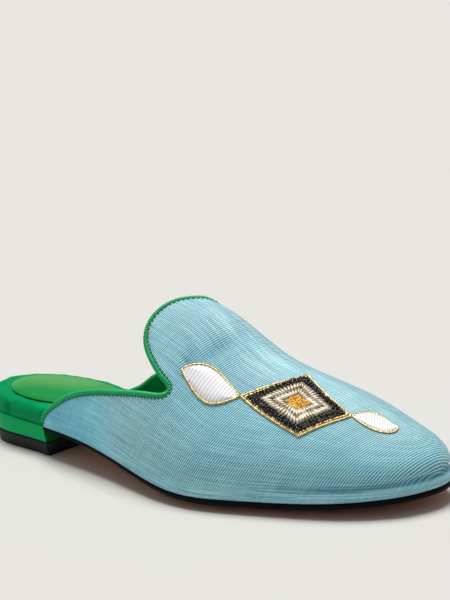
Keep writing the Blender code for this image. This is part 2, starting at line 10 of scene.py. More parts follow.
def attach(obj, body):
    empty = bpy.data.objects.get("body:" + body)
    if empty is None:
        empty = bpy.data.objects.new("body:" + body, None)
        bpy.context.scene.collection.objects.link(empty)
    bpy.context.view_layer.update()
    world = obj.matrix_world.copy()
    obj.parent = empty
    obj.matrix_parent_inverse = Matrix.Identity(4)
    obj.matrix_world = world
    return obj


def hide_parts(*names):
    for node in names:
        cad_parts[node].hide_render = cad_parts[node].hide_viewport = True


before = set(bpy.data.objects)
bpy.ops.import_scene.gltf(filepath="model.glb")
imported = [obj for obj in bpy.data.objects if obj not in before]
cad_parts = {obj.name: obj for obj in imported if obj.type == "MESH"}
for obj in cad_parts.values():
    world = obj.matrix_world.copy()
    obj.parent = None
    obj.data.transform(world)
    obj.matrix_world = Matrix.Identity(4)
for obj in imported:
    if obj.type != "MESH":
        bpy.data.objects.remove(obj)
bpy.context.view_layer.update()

# Footbed
# The padded footbed is foam on an insole board, wrapped in soft dark-green leather. The leather is pulled
# over the foam's edge and under the board, so it puckers where the edge turns round the heel.
LATERAL, MEDIAL = -1, 1
STAND = np.array([-0.12599927, 0.00182654, 0.0])  # from the last's heel point to the middle of the floor
SHOE_LENGTH, LATERAL_WIDTH, MEDIAL_WIDTH = 0.2515, 0.0436, 0.0400
SEAT_HEIGHT, BALL_HEIGHT, TOE_HEIGHT = 0.0139, 0.0054, 0.0084
FIT_GAP = 0.0003
OUTLINE = np.array([
    # along, lateral, medial
    (0.000, -0.030, 0.033), (0.020, 0.298, 0.375), (0.063, 0.431, 0.550), (0.139, 0.491, 0.630),
    (0.230, 0.569, 0.615), (0.325, 0.663, 0.565), (0.421, 0.780, 0.580), (0.508, 0.908, 0.690),
    (0.587, 0.995, 0.835), (0.659, 0.991, 0.945), (0.730, 0.885, 1.000), (0.802, 0.748, 0.995),
    (0.865, 0.606, 0.945), (0.915, 0.455, 0.860), (0.948, 0.310, 0.775), (0.980, 0.100, 0.620),
    (0.994, -0.080, 0.480), (1.000, -0.260, 0.283),
])
SEAM_RISE = np.array([
    # along, seat, ball, toe
    (0.000, 1.10, 0.00, 0.00), (0.204, 1.00, 0.00, 0.00), (0.317, 0.90, 0.10, 0.00),
    (0.417, 0.62, 0.38, 0.00), (0.516, 0.28, 0.72, 0.00), (0.615, 0.00, 1.02, 0.00),
    (0.714, 0.00, 1.00, 0.00), (0.813, 0.00, 0.88, 0.12), (0.913, 0.00, 0.52, 0.48),
    (1.000, 0.00, 0.00, 1.00),
])
FOOTBED_SEAT, FOOTBED_TOE = 0.0080, 0.0036
FOOTBED_CROWN, FOOTBED_ROLL, FOOTBED_INSET, FOOTBED_BULGE = 0.0014, 0.0026, 0.0006, 0.0003
FOOTBED_NOTCH = 0.0030
FOOTBED_NOTCH_END = {LATERAL: 0.0524, MEDIAL: 0.0591}
FOOTBED_NOTCH_RUN = {LATERAL: 0.0020, MEDIAL: 0.0140}
# Puckers round the heel: height, folds in a radian, then how far, how often and from where they wander
PUCKERS = ((1.0, 17, 1.2, 5, 0), (0.6, 31, 2.0, 3, 1))
PUCKER_EDGE, PUCKER_TOP, PUCKER_END = 0.00020, 0.00028, 0.062
# Pleat down the outer side: place along, half width, rise
PLEAT = ((0.0245, 0.0012, -0.00130), (0.0340, 0.0075, 0.00060), (0.0205, 0.0024, 0.00040))
PLEAT_FADE = 0.012
# Fold over the top: place off its line, half width, rise; the line's start, run, side and drift
FOLD = ((0.0, 0.0008, -0.00075), (-0.0016, 0.0009, 0.00050))
FOLD_START, FOLD_RUN, FOLD_SIDE, FOLD_DRIFT = 0.0255, 0.016, -0.0178, 0.0016
DEEP_GREEN, MID_GREEN = (0.0005, 0.215, 0.068), (0.001, 0.330, 0.108)


def spline(knots, values, at, closed=False):
    """Cubic spline through values at knots, natural at its ends or periodic, sampled at the points given."""
    knots, values, at = (np.asarray(a, float) for a in (knots, values, at))
    n = len(knots)
    step = np.diff(knots)
    slope = np.diff(values) / step
    system, right = np.zeros((n, n)), np.zeros(n)
    for i in range(1, n - 1):
        system[i, i - 1:i + 2] = step[i - 1], 2 * (step[i - 1] + step[i]), step[i]
        right[i] = 6 * (slope[i] - slope[i - 1])
    if closed:
        system[0, 0], system[0, -1] = 1, -1
        system[-1, 0], system[-1, 1] = 2 * step[0], step[0]
        system[-1, -1], system[-1, -2] = 2 * step[-1], step[-1]
        right[-1] = 6 * (slope[0] - slope[-1])
    else:
        system[0, 0] = system[-1, -1] = 1
    bend = np.linalg.solve(system, right)
    i = np.clip(np.searchsorted(knots, at, side="right") - 1, 0, n - 2)
    h, a, b = step[i], knots[i + 1] - at, at - knots[i]
    curved = bend[i] * a**3 / (6 * h) + bend[i + 1] * b**3 / (6 * h)
    return curved + (values[i] / h - bend[i] * h / 6) * a + (values[i + 1] / h - bend[i + 1] * h / 6) * b


def travelled(path):
    """How far along a path each of its points lies."""
    return np.concatenate([[0], np.cumsum(np.linalg.norm(np.diff(path, axis=0), axis=1))])


def sampled(rows, travel, at):
    """Rows of numbers that are known along a way, read at other places on it."""
    return np.column_stack([np.interp(at, travel, column) for column in rows.T])


def unit(rows):
    """Each row's direction."""
    return rows / np.maximum(np.linalg.norm(rows, axis=1), 1e-12)[:, None]


def smooth(share):
    """A share from 0 to 1 with its ends eased, held at 0 before and 1 after."""
    share = np.clip(share, 0, 1)
    return share * share * (3 - 2 * share)


def bell(off, half_width):
    """1 in the middle of a soft ridge, falling to 0 on both sides."""
    return np.exp(-((off / half_width) ** 2))


def spun(a, b, turn):
    """Two flat distances turned by an angle."""
    c, s = math.cos(turn), math.sin(turn)
    return a * c - b * s, a * s + b * c


def traced_outline():
    """The sole's closed outline as two point lists, each from heel back to toe tip."""
    along, lateral, medial = OUTLINE.T
    near = np.column_stack([along * SHOE_LENGTH, -lateral * LATERAL_WIDTH])
    far = np.column_stack([along * SHOE_LENGTH, medial * MEDIAL_WIDTH])
    loop = np.vstack([near, far[-2:0:-1], near[:1]])
    knots = travelled(loop)
    fine = np.linspace(0, knots[-1], 1600)
    points = np.column_stack([spline(knots, loop[:, k], fine, closed=True) for k in range(2)])[:-1]
    points = np.roll(points, -int(np.argmin(points[:, 0])), axis=0)
    tip = int(np.argmax(points[:, 0]))
    return {LATERAL: points[:tip + 1], MEDIAL: np.vstack([points[tip:], points[:1]])[::-1]}


SIDES = traced_outline()
TRAVEL = {side: travelled(points) for side, points in SIDES.items()}


def outline(side, share):
    """Points of the outline at shares of the way from heel back to toe tip."""
    return sampled(SIDES[side], TRAVEL[side], np.asarray(share, float) * TRAVEL[side][-1])


def seam_height(x):
    """Height of the seam between upper and sole."""
    weights = SEAM_RISE[:, 1:] @ (SEAT_HEIGHT, BALL_HEIGHT, TOE_HEIGHT)
    return spline(SEAM_RISE[:, 0] * SHOE_LENGTH, weights, np.clip(x, 0, SHOE_LENGTH))


def even_steps(count, ease_start, ease_end):
    """Shares from 0 to 1, closer together at the ends that are eased."""
    t = np.linspace(0, 1, count + 1)
    wave = np.sin(2 * math.pi * t) / (2 * math.pi)
    return (t - ease_start * wave) * (1 - t) + (t - ease_end * wave) * t


def inset_edge(side, shares, distance):
    """The outline moved inwards; distance is one length or one for each share."""
    nudge = 2e-3
    ahead = outline(side, np.clip(shares + nudge, 0, 1)) - outline(side, np.clip(shares - nudge, 0, 1))
    if shares[0] <= 0:
        ahead[0] = (0, side)
    if shares[-1] >= 1:
        ahead[-1] = (0, -side)
    ahead = unit(ahead)
    inward = np.column_stack([ahead[:, 1], -ahead[:, 0]]) * side
    return outline(side, shares) + inward * np.broadcast_to(distance, len(shares))[:, None]


def finished(name, points, faces, materials, face_material=None, uv=None, fold=None):
    """A piece at the origin from points on the last, with smooth faces and its materials.

    uv lays the cloth's own grid on it, and fold says how deep in a fold each point lies, from 0 to 1.
    """
    mesh = bpy.data.meshes.new(name)
    mesh.from_pydata((np.asarray(points) + STAND).tolist(), [], [list(map(int, face)) for face in faces])
    mesh.validate(clean_customdata=False)
    for material in materials:
        mesh.materials.append(material)
    if face_material is not None:
        mesh.polygons.foreach_set("material_index", np.asarray(face_material, np.int32))
    if uv is not None:
        corners = np.zeros(len(mesh.loops), np.int32)
        mesh.loops.foreach_get("vertex_index", corners)
        layer = mesh.uv_layers.new(name="cloth")
        layer.data.foreach_set("uv", np.asarray(uv, np.float32)[corners].ravel())
    if fold is not None:
        mesh.attributes.new("fold", "FLOAT", "POINT").data.foreach_set("value", np.asarray(fold, np.float32))
    mesh.shade_smooth()
    piece = bpy.data.objects.new(name, mesh)
    bpy.context.scene.collection.objects.link(piece)
    return piece


def quads(ids, flipped=False):
    """Faces over a grid of point numbers, with doubled corners merged."""
    corners = np.stack([ids[:-1, :-1], ids[:-1, 1:], ids[1:, 1:], ids[1:, :-1]], axis=-1).reshape(-1, 4)
    faces = [list(dict.fromkeys(face)) for face in corners.tolist()]
    return [face[::-1] if flipped else face for face in faces if len(face) > 2]


def numbered(grids, shared):
    """Rows of points for two grids, and the grids of their numbers; where shared, both use the first's."""
    first = np.arange(shared.size).reshape(shared.shape)
    second = first.copy()
    second[~shared] = shared.size + np.arange((~shared).sum())
    return np.vstack([grids[0].reshape(shared.size, -1), grids[1][~shared]]), (first, second)


def plate(name, rings, edges, lags, materials, ring_material, blunt=None, end_material=0):
    """A closed slab between the two sides of an outline, from its bottom's middle line round to its top's.

    rings gives each ring's distance in from the edge, None for the middle line, and its height at x and y;
    a distance may also be worked out from the edge's x and y. blunt says which end is cut square, 0 or -1,
    and is faced with end_material; any other end closes on its tip.
    """
    middle = (edges[LATERAL] + edges[MEDIAL]) / 2
    along = middle[:, 0] / SHOE_LENGTH
    middle[:, 0] += lags[0] * np.clip(1 - along / 0.12, 0, 1) ** 2
    middle[:, 0] -= lags[1] * np.clip((along - 0.7) / 0.3, 0, 1) ** 3
    shared = np.zeros((len(rings), len(middle)), bool)
    shared[[0, -1]] = True
    shared[:, [end for end in (0, -1) if end != blunt]] = True
    grids = []
    for side in (LATERAL, MEDIAL):
        inward = middle - edges[side]
        reach = np.maximum(np.linalg.norm(inward, axis=1), 1e-6)
        grid = []
        for inset, height in rings:
            if callable(inset):
                inset = inset(*edges[side].T)
            part = np.ones(len(middle)) if inset is None else np.minimum(inset / reach, 0.9)
            place = edges[side] + inward * part[:, None]
            grid.append(np.column_stack([place, height(*place.T)]))
        grids.append(np.array(grid))
    points, (near, far) = numbered(grids, shared)
    walls = [
        (quads(near[k:k + 2]) + quads(far[k:k + 2], True), slot)
        for k, slot in enumerate(ring_material)
    ]
    if blunt is not None:
        walls.append((quads(np.array([near[:, blunt], far[:, blunt]]), blunt != 0), end_material))
    slots = [slot for faces, slot in walls for _face in faces]
    return finished(name, points, [face for faces, _slot in walls for face in faces], materials, slots)


class Socket:
    """A shader socket that can be used in arithmetic; each step adds a Math node."""

    def __init__(self, tree, link):
        self.tree = tree
        self.link = link

    def node(self, kind, settings, *values):
        """The outputs of a new node: its settings are made first, then its sockets' values or links."""
        made = self.tree.nodes.new(kind)
        for key, value in settings.items():
            setattr(made, key, value)
        for place, value in enumerate(values):
            if isinstance(value, Socket):
                self.tree.links.new(value.link, made.inputs[place])
            elif value is not None:
                made.inputs[place].default_value = value
        return [Socket(self.tree, output) for output in made.outputs]

    def math(self, operation, *values):
        return self.node("ShaderNodeMath", {"operation": operation}, *values)[0]

    def __add__(self, other):
        return self.math("ADD", self, other)

    def __radd__(self, other):
        return self.math("ADD", other, self)

    def __sub__(self, other):
        return self.math("SUBTRACT", self, other)

    def __rsub__(self, other):
        return self.math("SUBTRACT", other, self)

    def __mul__(self, other):
        return self.math("MULTIPLY", self, other)

    def __pow__(self, other):
        return self.math("POWER", self, other)

    def sine(self):
        return self.math("SINE", self)

    def between(self, low, high):
        """0 below low, 1 above high, smooth in between."""
        return self.node("ShaderNodeMapRange", {"interpolation_type": "SMOOTHSTEP"}, self, low, high)[0]

    def blend(self, low, high):
        """Colour low where this share is 0 and high where it is 1."""
        ends = [end if isinstance(end, Socket) else (*end, 1) for end in (low, high)]
        return self.node("ShaderNodeMix", {"data_type": "RGBA"}, self, *[None] * 5, *ends)[2]

    def stretched(self, factors):
        return self.node("ShaderNodeVectorMath", {"operation": "MULTIPLY"}, self, factors)[0]

    def noise(self, scale, detail=2.0, rough=0.5):
        return self.node("ShaderNodeTexNoise", {}, self, None, scale, detail, rough)[0]

    def cells(self, scale):
        return self.node("ShaderNodeTexVoronoi", {"feature": "F1"}, self, None, scale)[0]

    def parts(self):
        return self.node("ShaderNodeSeparateXYZ", {}, self)


def finish_of(name, **fixed):
    """A material with fixed values on its shader's own sockets, and the object's place in it."""
    material = bpy.data.materials.new(name)
    material.use_nodes = True
    tree = material.node_tree
    for key, value in fixed.items():
        tree.nodes["Principled BSDF"].inputs[key.replace("_", " ")].default_value = value
    return material, Socket(tree, tree.nodes.new("ShaderNodeTexCoord").outputs["Object"])


def give(material, colour, rough, height=None, depth=0.0):
    """The material with colour, roughness and the height of its surface joined to its shader."""
    tree = material.node_tree
    shader = tree.nodes["Principled BSDF"]
    tree.links.new(colour.link, shader.inputs["Base Color"])
    tree.links.new(rough.link, shader.inputs["Roughness"])
    if height is not None:
        bump = tree.nodes.new("ShaderNodeBump")
        bump.inputs["Strength"].default_value = 1.0
        bump.inputs["Distance"].default_value = depth
        tree.links.new(height.link, bump.inputs["Height"])
        tree.links.new(bump.outputs[0], shader.inputs["Normal"])
    return material


def leather(name, dark, light, rough, grain=900.0, depth=0.00009, shine=0.16, tint=(0.08, 1.0, 0.42)):
    """Dyed leather: fine pebbled grain, slow changes of tone and shine."""
    material, place = finish_of(name, Specular_IOR_Level=shine, Specular_Tint=(*tint, 1.0))
    slow = place.noise(38.0, 3.0)
    crease = place.stretched((1.0, 1.6, 1.0)).noise(210.0, 4.0, 0.6)
    tone = (slow * 0.8 + crease * 0.45 - 0.1).between(0.15, 0.95).blend(dark, light)
    return give(material, tone, rough - 0.10 + slow * 0.20, place.cells(grain) * 0.7 + crease * 0.8, depth)


def footbed_height(x, y):
    """Height of the footbed's top: thick and crowned at the seat, thin under the toes."""
    thinned = smooth((x / SHOE_LENGTH - 0.30) / 0.30)
    low, high = (np.interp(x, SIDES[side][:, 0], SIDES[side][:, 1]) for side in (LATERAL, MEDIAL))
    off_centre = 2 * (y - (low + high) / 2) / np.maximum(high - low, 0.01)
    crown = FOOTBED_CROWN * (1 - thinned) * np.clip(1 - off_centre**2, 0, 1)
    return seam_height(x) + FOOTBED_SEAT * (1 - thinned) + FOOTBED_TOE * thinned + crown


def pucker(x, y, level):
    """Soft folds of leather pulled round the heel's edge; level 0 is the edge's foot, 1 its top."""
    angle = np.arctan2(y - 0.001, 0.034 - x)
    swing = sum(
        height * np.sin(angle * folds + sway * np.sin(angle * often + start))
        for height, folds, sway, often, start in PUCKERS
    )
    return swing * np.clip(1 - x / PUCKER_END, 0, 1) ** 0.5 * math.sin(math.pi * level)


def side_pleat(x, y):
    """A pleat down the outer side where the leather turns in at the heel, with the skin full beside it."""
    outer = np.clip(-y / PLEAT_FADE, 0, 1)
    return outer * sum(rise * bell(x - middle, width) for middle, width, rise in PLEAT)


def top_fold(x, y):
    """The fold's line over the top, between the pleat and the pad's front."""
    along = (x - FOLD_START) / FOLD_RUN
    off = y - FOLD_SIDE - FOLD_DRIFT * along
    keep = np.clip(along * 4, 0, 1) * np.clip((1.25 - along) * 3, 0, 1)
    return keep * sum(rise * bell(off - middle, width) for middle, width, rise in FOLD)


def make_footbed():
    shares = even_steps(260, 0.75, 0.65)
    edges = {}
    for side in (LATERAL, MEDIAL):
        run = FOOTBED_NOTCH_RUN[side]
        pulled = np.clip((outline(side, shares)[:, 0] - FOOTBED_NOTCH_END[side] + run) / run, 0, 1)
        edges[side] = inset_edge(side, shares, FOOTBED_NOTCH * pulled)

    def foot(x, y):
        return seam_height(x) + FIT_GAP

    def wall(level):
        bow = math.sin(math.pi * level)
        return (
            lambda x, y: FOOTBED_INSET - (FOOTBED_BULGE + side_pleat(x, y)) * bow,
            lambda x, y: foot(x, y) + (footbed_height(x, y) - FOOTBED_ROLL - foot(x, y)) * level / 0.68,
        )

    def shoulder(turn):
        up, out = math.sin(math.radians(turn)), math.cos(math.radians(turn))
        return 0.0004 + FOOTBED_ROLL * (1 - out), lambda x, y: (
            footbed_height(x, y) - FOOTBED_ROLL * (1 - up)
            + PUCKER_EDGE * pucker(x, y, turn / 90) + 0.7 * up * side_pleat(x, y)
        )

    def top(inset):
        fade = math.exp(-inset / 0.006)
        return inset, lambda x, y: (
            footbed_height(x, y) + top_fold(x, y)
            + fade * (PUCKER_TOP * pucker(x, y, 0.5) + side_pleat(x, y))
        )

    insets = (0.0036, 0.0042, 0.0048, 0.0054, 0.0060, 0.0070, 0.0085, 0.0120, 0.0160, 0.0200)
    rings = [(None, foot), (FOOTBED_INSET, foot)]
    rings += [wall(level) for level in (0.12, 0.3, 0.5, 0.68)]
    rings += [shoulder(turn) for turn in (15, 32, 50, 68, 84)]
    rings += [top(inset) for inset in insets]
    rings.append((None, footbed_height))
    skin = leather("footbed_leather", DEEP_GREEN, MID_GREEN, 0.46, shine=0.02, tint=(0.35, 1.0, 0.7))
    return plate("footbed_cover", rings, edges, (0.018, 0.022), [skin], [0] * (len(rings) - 1))


footbed = make_footbed()
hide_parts("footbed")
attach(footbed, "root")

# Sock pad
# A smooth oval pad of lighter green satin leather over thin foam, its edge turned under and stuck on the
# seat.
PAD_LENGTH, PAD_WIDTH, PAD_THICKNESS, PAD_START = 0.066, 0.034, 0.0014, 0.010
PAD_OFFSET, PAD_FLARE, PAD_EDGE, PAD_WAVE = 0.0005, 0.10, 0.0026, 0.00012
# The last colour is the pale green of a painted highlight.
PAD_DARK, PAD_LIGHT, PAD_HIGHLIGHT = (0.001, 0.225, 0.040), (0.003, 0.285, 0.054), (0.110, 0.330, 0.105)


def pad_place(turn, reach):
    """Flat place on the pad at an angle and a share of the way out from its middle."""
    x = PAD_START + PAD_LENGTH / 2 - np.cos(turn) * reach * PAD_LENGTH / 2
    return x, PAD_OFFSET + np.sin(turn) * reach * (1 + PAD_FLARE * np.cos(turn)) * PAD_WIDTH / 2


def pad_height(x, y, reach):
    """The pad's top, rounded off to its edge, with a slow wave where the foam gives."""
    edge = (1 - reach) * PAD_WIDTH / 2
    swell = 1 - 0.70 * np.clip(1 - edge / PAD_EDGE, 0, 1) ** 2
    wave = PAD_WAVE * np.sin(x / 0.0085 + 1.0) * np.sin(y / 0.0070 + 0.5)
    return footbed_height(x, y) + FIT_GAP + PAD_THICKNESS * swell + wave * np.clip(edge / 0.004, 0, 1)


def skin_faces(rows, count, flipped=False):
    """Faces over rows of rings, closed on the two points that follow them."""
    ids = np.arange(rows * count).reshape(rows, count)
    ids = np.hstack([ids, ids[:, :1]])
    caps = [(i, j, rows * count) for i, j in zip(ids[0], ids[0, 1:])]
    caps += [(j, i, rows * count + 1) for i, j in zip(ids[-1], ids[-1, 1:])]
    if flipped:
        return quads(ids.T[::-1]) + [cap[::-1] for cap in caps]
    return quads(ids[:, ::-1]) + caps


def satin_leather():
    """Satin-faced leather, with a painted highlight that makes it paler over the far side and towards the
    back.
    """
    material, place = finish_of("pad_leather", Specular_IOR_Level=0.10)
    x, y, _z = place.parts()
    slow = place.noise(45.0, 3.0)
    # Painted highlight: paler over the far side and towards the back.
    far_highlight = (y - x * 0.42 + slow * 0.012).between(0.0340, 0.0600)
    base_tone = slow.between(0.25, 0.75).blend(PAD_DARK, PAD_LIGHT)
    tone = (far_highlight * 0.85).blend(base_tone, PAD_HIGHLIGHT)
    return give(material, tone, 0.36 + slow * 0.18, place.cells(1300.0), 0.00003)


def make_pad():
    turns = np.linspace(0, 2 * math.pi, 128, endpoint=False)
    reaches = (1.0, 0.995, 0.985, 0.97, 0.95, 0.93, 0.91, 0.89, 0.86, 0.82, 0.76, 0.68, 0.56, 0.4, 0.2)
    x, y = pad_place(turns, 0.97)
    points = list(zip(x, y, footbed_height(x, y) + FIT_GAP))
    for reach in reaches:
        x, y = pad_place(turns, reach)
        points += zip(x, y, pad_height(x, y, reach))
    x, y = pad_place(np.zeros(1), 0.0)
    points += zip(x, y, footbed_height(x, y) + FIT_GAP)
    points += zip(x, y, pad_height(x, y, 0.0))
    return finished("sock_pad_cover", points, skin_faces(len(reaches) + 1, len(turns)), [satin_leather()])


pad = make_pad()
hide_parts("sock_pad")
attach(pad, "root")

# Upper
# One piece of sky-blue ribbed silk blend, bonded to a backer, pulled over the last and under the insole.
# Its ribs run across the shoe; it dips where the foot bends and rolls over the insole's edge at the toe.
INSTEP_HEIGHT, TOE_LAG, SIDE_SWELL = 0.0840, 0.020, 0.0016
UPPER_WALL, CLOTH_THICKNESS = 0.0018, 0.0009
RIB_RUN = np.array([0.9145, -0.0360, -0.5398])  # ribs in each millimetre, along X, Y and Z
CLOTH_HALF_WIDTH = 0.09
FAN_START, FAN_END = 0.60, 0.96
RIDGE = np.array([
    # along, height, sideways, rise, crown
    (0.150, 1.050, 0.060, 0.46, 0.50), (0.330, 1.000, 0.120, 0.45, 0.52), (0.430, 0.940, 0.160, 0.43, 0.58),
    (0.500, 0.896, 0.180, 0.42, 0.60), (0.570, 0.822, 0.190, 0.40, 0.62), (0.650, 0.656, 0.200, 0.38, 0.72),
    (0.730, 0.561, 0.220, 0.39, 0.80), (0.810, 0.487, 0.250, 0.43, 0.89), (0.870, 0.415, 0.275, 0.48, 0.95),
    (0.920, 0.365, 0.290, 0.52, 1.00),
])
COLLARS = {
    LATERAL: np.array([
        # share, around, root
        (0.222, 0.012, 0.222), (0.228, 0.040, 0.229), (0.240, 0.072, 0.243), (0.259, 0.106, 0.264),
        (0.287, 0.152, 0.295), (0.331, 0.208, 0.342), (0.385, 0.263, 0.398), (0.439, 0.316, 0.455),
        (0.492, 0.366, 0.510), (0.528, 0.402, 0.555), (0.546, 0.440, 0.588), (0.552, 0.480, 0.612),
        (0.544, 0.506, 0.630), (0.524, 0.518, 0.646), (0.496, 0.552, 0.662), (0.474, 0.598, 0.678),
        (0.463, 0.655, 0.694), (0.461, 0.725, 0.710), (0.467, 0.810, 0.726), (0.480, 0.905, 0.742),
        (0.500, 1.000, 0.757),
    ]),
    MEDIAL: np.array([
        # share, around, root
        (0.246, 0.012, 0.246), (0.255, 0.032, 0.256), (0.271, 0.054, 0.274), (0.294, 0.084, 0.299),
        (0.321, 0.136, 0.329), (0.357, 0.195, 0.368), (0.402, 0.250, 0.415), (0.453, 0.310, 0.468),
        (0.508, 0.366, 0.524), (0.545, 0.402, 0.566), (0.564, 0.440, 0.595), (0.571, 0.480, 0.618),
        (0.566, 0.508, 0.636), (0.551, 0.522, 0.652), (0.536, 0.556, 0.667), (0.528, 0.602, 0.682),
        (0.525, 0.660, 0.697), (0.523, 0.730, 0.712), (0.5195, 0.815, 0.727), (0.512, 0.905, 0.742),
        (0.500, 1.000, 0.757),
    ]),
}
# Creases by the throat: the middle's share and around, the half length along and across in shares, the turn
# in degrees of the long axis from the sole's direction, and the height in metres, below 0 for a trough
CREASES = (
    (0.560, 0.635, 0.030, 0.016, 80, -0.00210),
    (0.583, 0.815, 0.050, 0.022, 81, -0.00170),
    (0.596, 0.640, 0.034, 0.024, 78, 0.00080),
    (0.520, 0.650, 0.036, 0.030, 62, -0.00035),
)
DEEPEST_FOLD = 0.0022
SHARES_PER_AROUND = 0.45
# Roll over the insole's edge at the toe: height above the seam, half height, rise
TOE_ROLL = ((0.0056, 0.0016, -0.00135), (0.0022, 0.0017, 0.00090))
TOE_ROLL_START, TOE_ROLL_RUN = 0.66, 0.20


def ridge(x):
    """Height, sideways place, rise, crown and slope of the last's ridge."""
    along = RIDGE[:, 0] * SHOE_LENGTH
    x = np.clip(x, along[0], along[-1])
    height, sideways, rise, crown = (spline(along, RIDGE[:, k], x) for k in range(1, 5))
    delta = SHOE_LENGTH / 500
    slope = (spline(along, RIDGE[:, 1], x + delta) - spline(along, RIDGE[:, 1], x - delta)) / (2 * delta)
    return height * INSTEP_HEIGHT, sideways * MEDIAL_WIDTH, rise, crown, slope * INSTEP_HEIGHT


def last_point(side, share, around):
    """Point of the upper's outer surface: a Bezier section from the seam at that share up to the ridge."""
    share, around = np.broadcast_arrays(np.asarray(share, float), np.asarray(around, float))
    foot = outline(side, share)
    mean_x = (outline(LATERAL, share)[:, 0] + outline(MEDIAL, share)[:, 0]) / 2
    top_x = mean_x - TOE_LAG * smooth((mean_x / SHOE_LENGTH - FAN_START) / (FAN_END - FAN_START))
    height, sideways, rise, crown, slope = ridge(top_x)
    low = np.column_stack([foot, seam_height(foot[:, 0]) + FIT_GAP])
    top = np.column_stack([top_x, sideways, height])
    reach = np.linalg.norm(low[:, :2] - top[:, :2], axis=1)
    outward = (low[:, :2] - top[:, :2]) / reach[:, None]
    swell = np.column_stack([outward * SIDE_SWELL, rise * (height - low[:, 2])])
    shoulder = np.column_stack([outward, slope * outward[:, 0]]) * (crown * reach)[:, None]
    t = around[:, None]
    low_part = (1 - t) ** 3 * low + 3 * (1 - t) ** 2 * t * (low + swell)
    return low_part + 3 * (1 - t) * t**2 * (top + shoulder) + t**3 * top


def last_normal(side, share, around):
    """Unit normal of the upper's outer surface, pointing out of the shoe."""
    nudge = 1e-3
    over = last_point(side, share, around) - last_point(side, share, around - nudge)
    ahead = last_point(side, share + nudge, around) - last_point(side, share - nudge, around)
    return unit(np.cross(ahead, over) * -side)


def collar_path(side, steps):
    """Shares, arounds and strand roots of points on the collar line, closer in its tight turn."""
    own, other = COLLARS[side], COLLARS[-side][-2::-1]
    rows = np.arange(len(own) + len(other), dtype=float)
    fine = np.linspace(0, len(own) - 1, 1200)
    share = spline(rows, np.append(own[:, 0], other[:, 0]), fine)
    around = spline(rows, np.append(own[:, 1], 2 - other[:, 1]), fine)
    root = spline(rows, np.append(own[:, 2], 2 * own[-1, 2] - other[:, 2]), fine)
    travel = travelled(last_point(side, share, around))
    pace = travel / travel[-1] + fine / fine[-1]
    at = np.interp(np.linspace(0, pace[-1], steps + 1), pace, fine)
    return sampled(np.column_stack([share, around, root]), fine, at).T


def relief(side, share, around):
    """How far the cloth stands off the plain last: the creases by the throat, and the roll at the toe."""
    lift = np.zeros_like(share)
    if side == LATERAL:
        for middle, height, long, short, turn, rise in CREASES:
            a, b = spun(share - middle, (around - height) * SHARES_PER_AROUND, -math.radians(turn))
            lift += rise * bell(a, long) * bell(b, short * SHARES_PER_AROUND)
    foot = last_point(side, share, np.zeros_like(share))
    above = last_point(side, share, around)[:, 2] - foot[:, 2]
    roll = sum(rise * bell(above - middle, width) for middle, width, rise in TOE_ROLL)
    return lift + roll * smooth((share - TOE_ROLL_START) / TOE_ROLL_RUN)


def upper_grid(side, collar_steps, spine_steps, rows):
    """Shares and arounds over one side of the upper, each strand from the seam to the collar or spine."""
    forward = np.linspace(0, 1, spine_steps + 1)[1:]
    head_share, head_around, root = collar_path(side, collar_steps)
    root = np.append(root, root[-1] + (1 - root[-1]) * forward)
    head_share = np.append(head_share, head_share[-1] + (1 - head_share[-1]) * forward)
    head_around = np.append(head_around, np.ones(spine_steps))
    bend = 1 - 0.5 * np.interp(head_around, (0.50, 1.00), (0, 1))
    q = np.linspace(0, 1, rows + 1)[:, None]
    lean = q**2 + (2 * bend - 1) * (q**3 - q**2)
    return root * (1 - lean) + head_share * lean, head_around * (2 * q * (1 - q) * bend + q**2)


def shell(name, outer_depth, inner_depth, material, collar_steps=130, spine_steps=64, rows=46):
    """A closed sheet between two depths under the upper's outer surface."""
    shared = np.zeros((rows + 1, collar_steps + spine_steps + 1), bool)
    shared[:, -1] = shared[-1, collar_steps:] = True
    layers = {outer_depth: [], inner_depth: []}
    for side in (LATERAL, MEDIAL):
        share, around = (grid.ravel() for grid in upper_grid(side, collar_steps, spine_steps, rows))
        plain, lift = last_point(side, share, around), relief(side, share, around)
        out = last_normal(side, np.clip(share, 2e-3, 1 - 2e-3), np.maximum(around, 2e-3))
        # The last column is each point's depth in a crease, which the cloth's material darkens as painted
        # shade.
        cloth = plain @ RIB_RUN, around * CLOTH_HALF_WIDTH, np.clip(-lift / DEEPEST_FOLD, 0, 1)
        for depth, grids in layers.items():
            table = np.column_stack([plain + out * (lift - depth)[:, None], *cloth])
            grids.append(table.reshape(*shared.shape, -1))
    (outer, tops), (inner, bottoms) = (numbered(grids, shared) for grids in layers.values())
    faces = []
    for top, bottom, flipped in zip(tops, bottoms, (False, True)):
        bottom = bottom + len(outer)
        rims = np.array([
            np.concatenate([ids[0, ::-1], ids[1:, 0], ids[-1, 1:collar_steps + 1]])
            for ids in (top, bottom)
        ])
        faces += quads(top, flipped) + quads(bottom, not flipped) + quads(rims, flipped)
    table = np.vstack([outer, inner])
    return finished(name, table[:, :3], faces, [material], uv=table[:, 3:5], fold=table[:, 5])


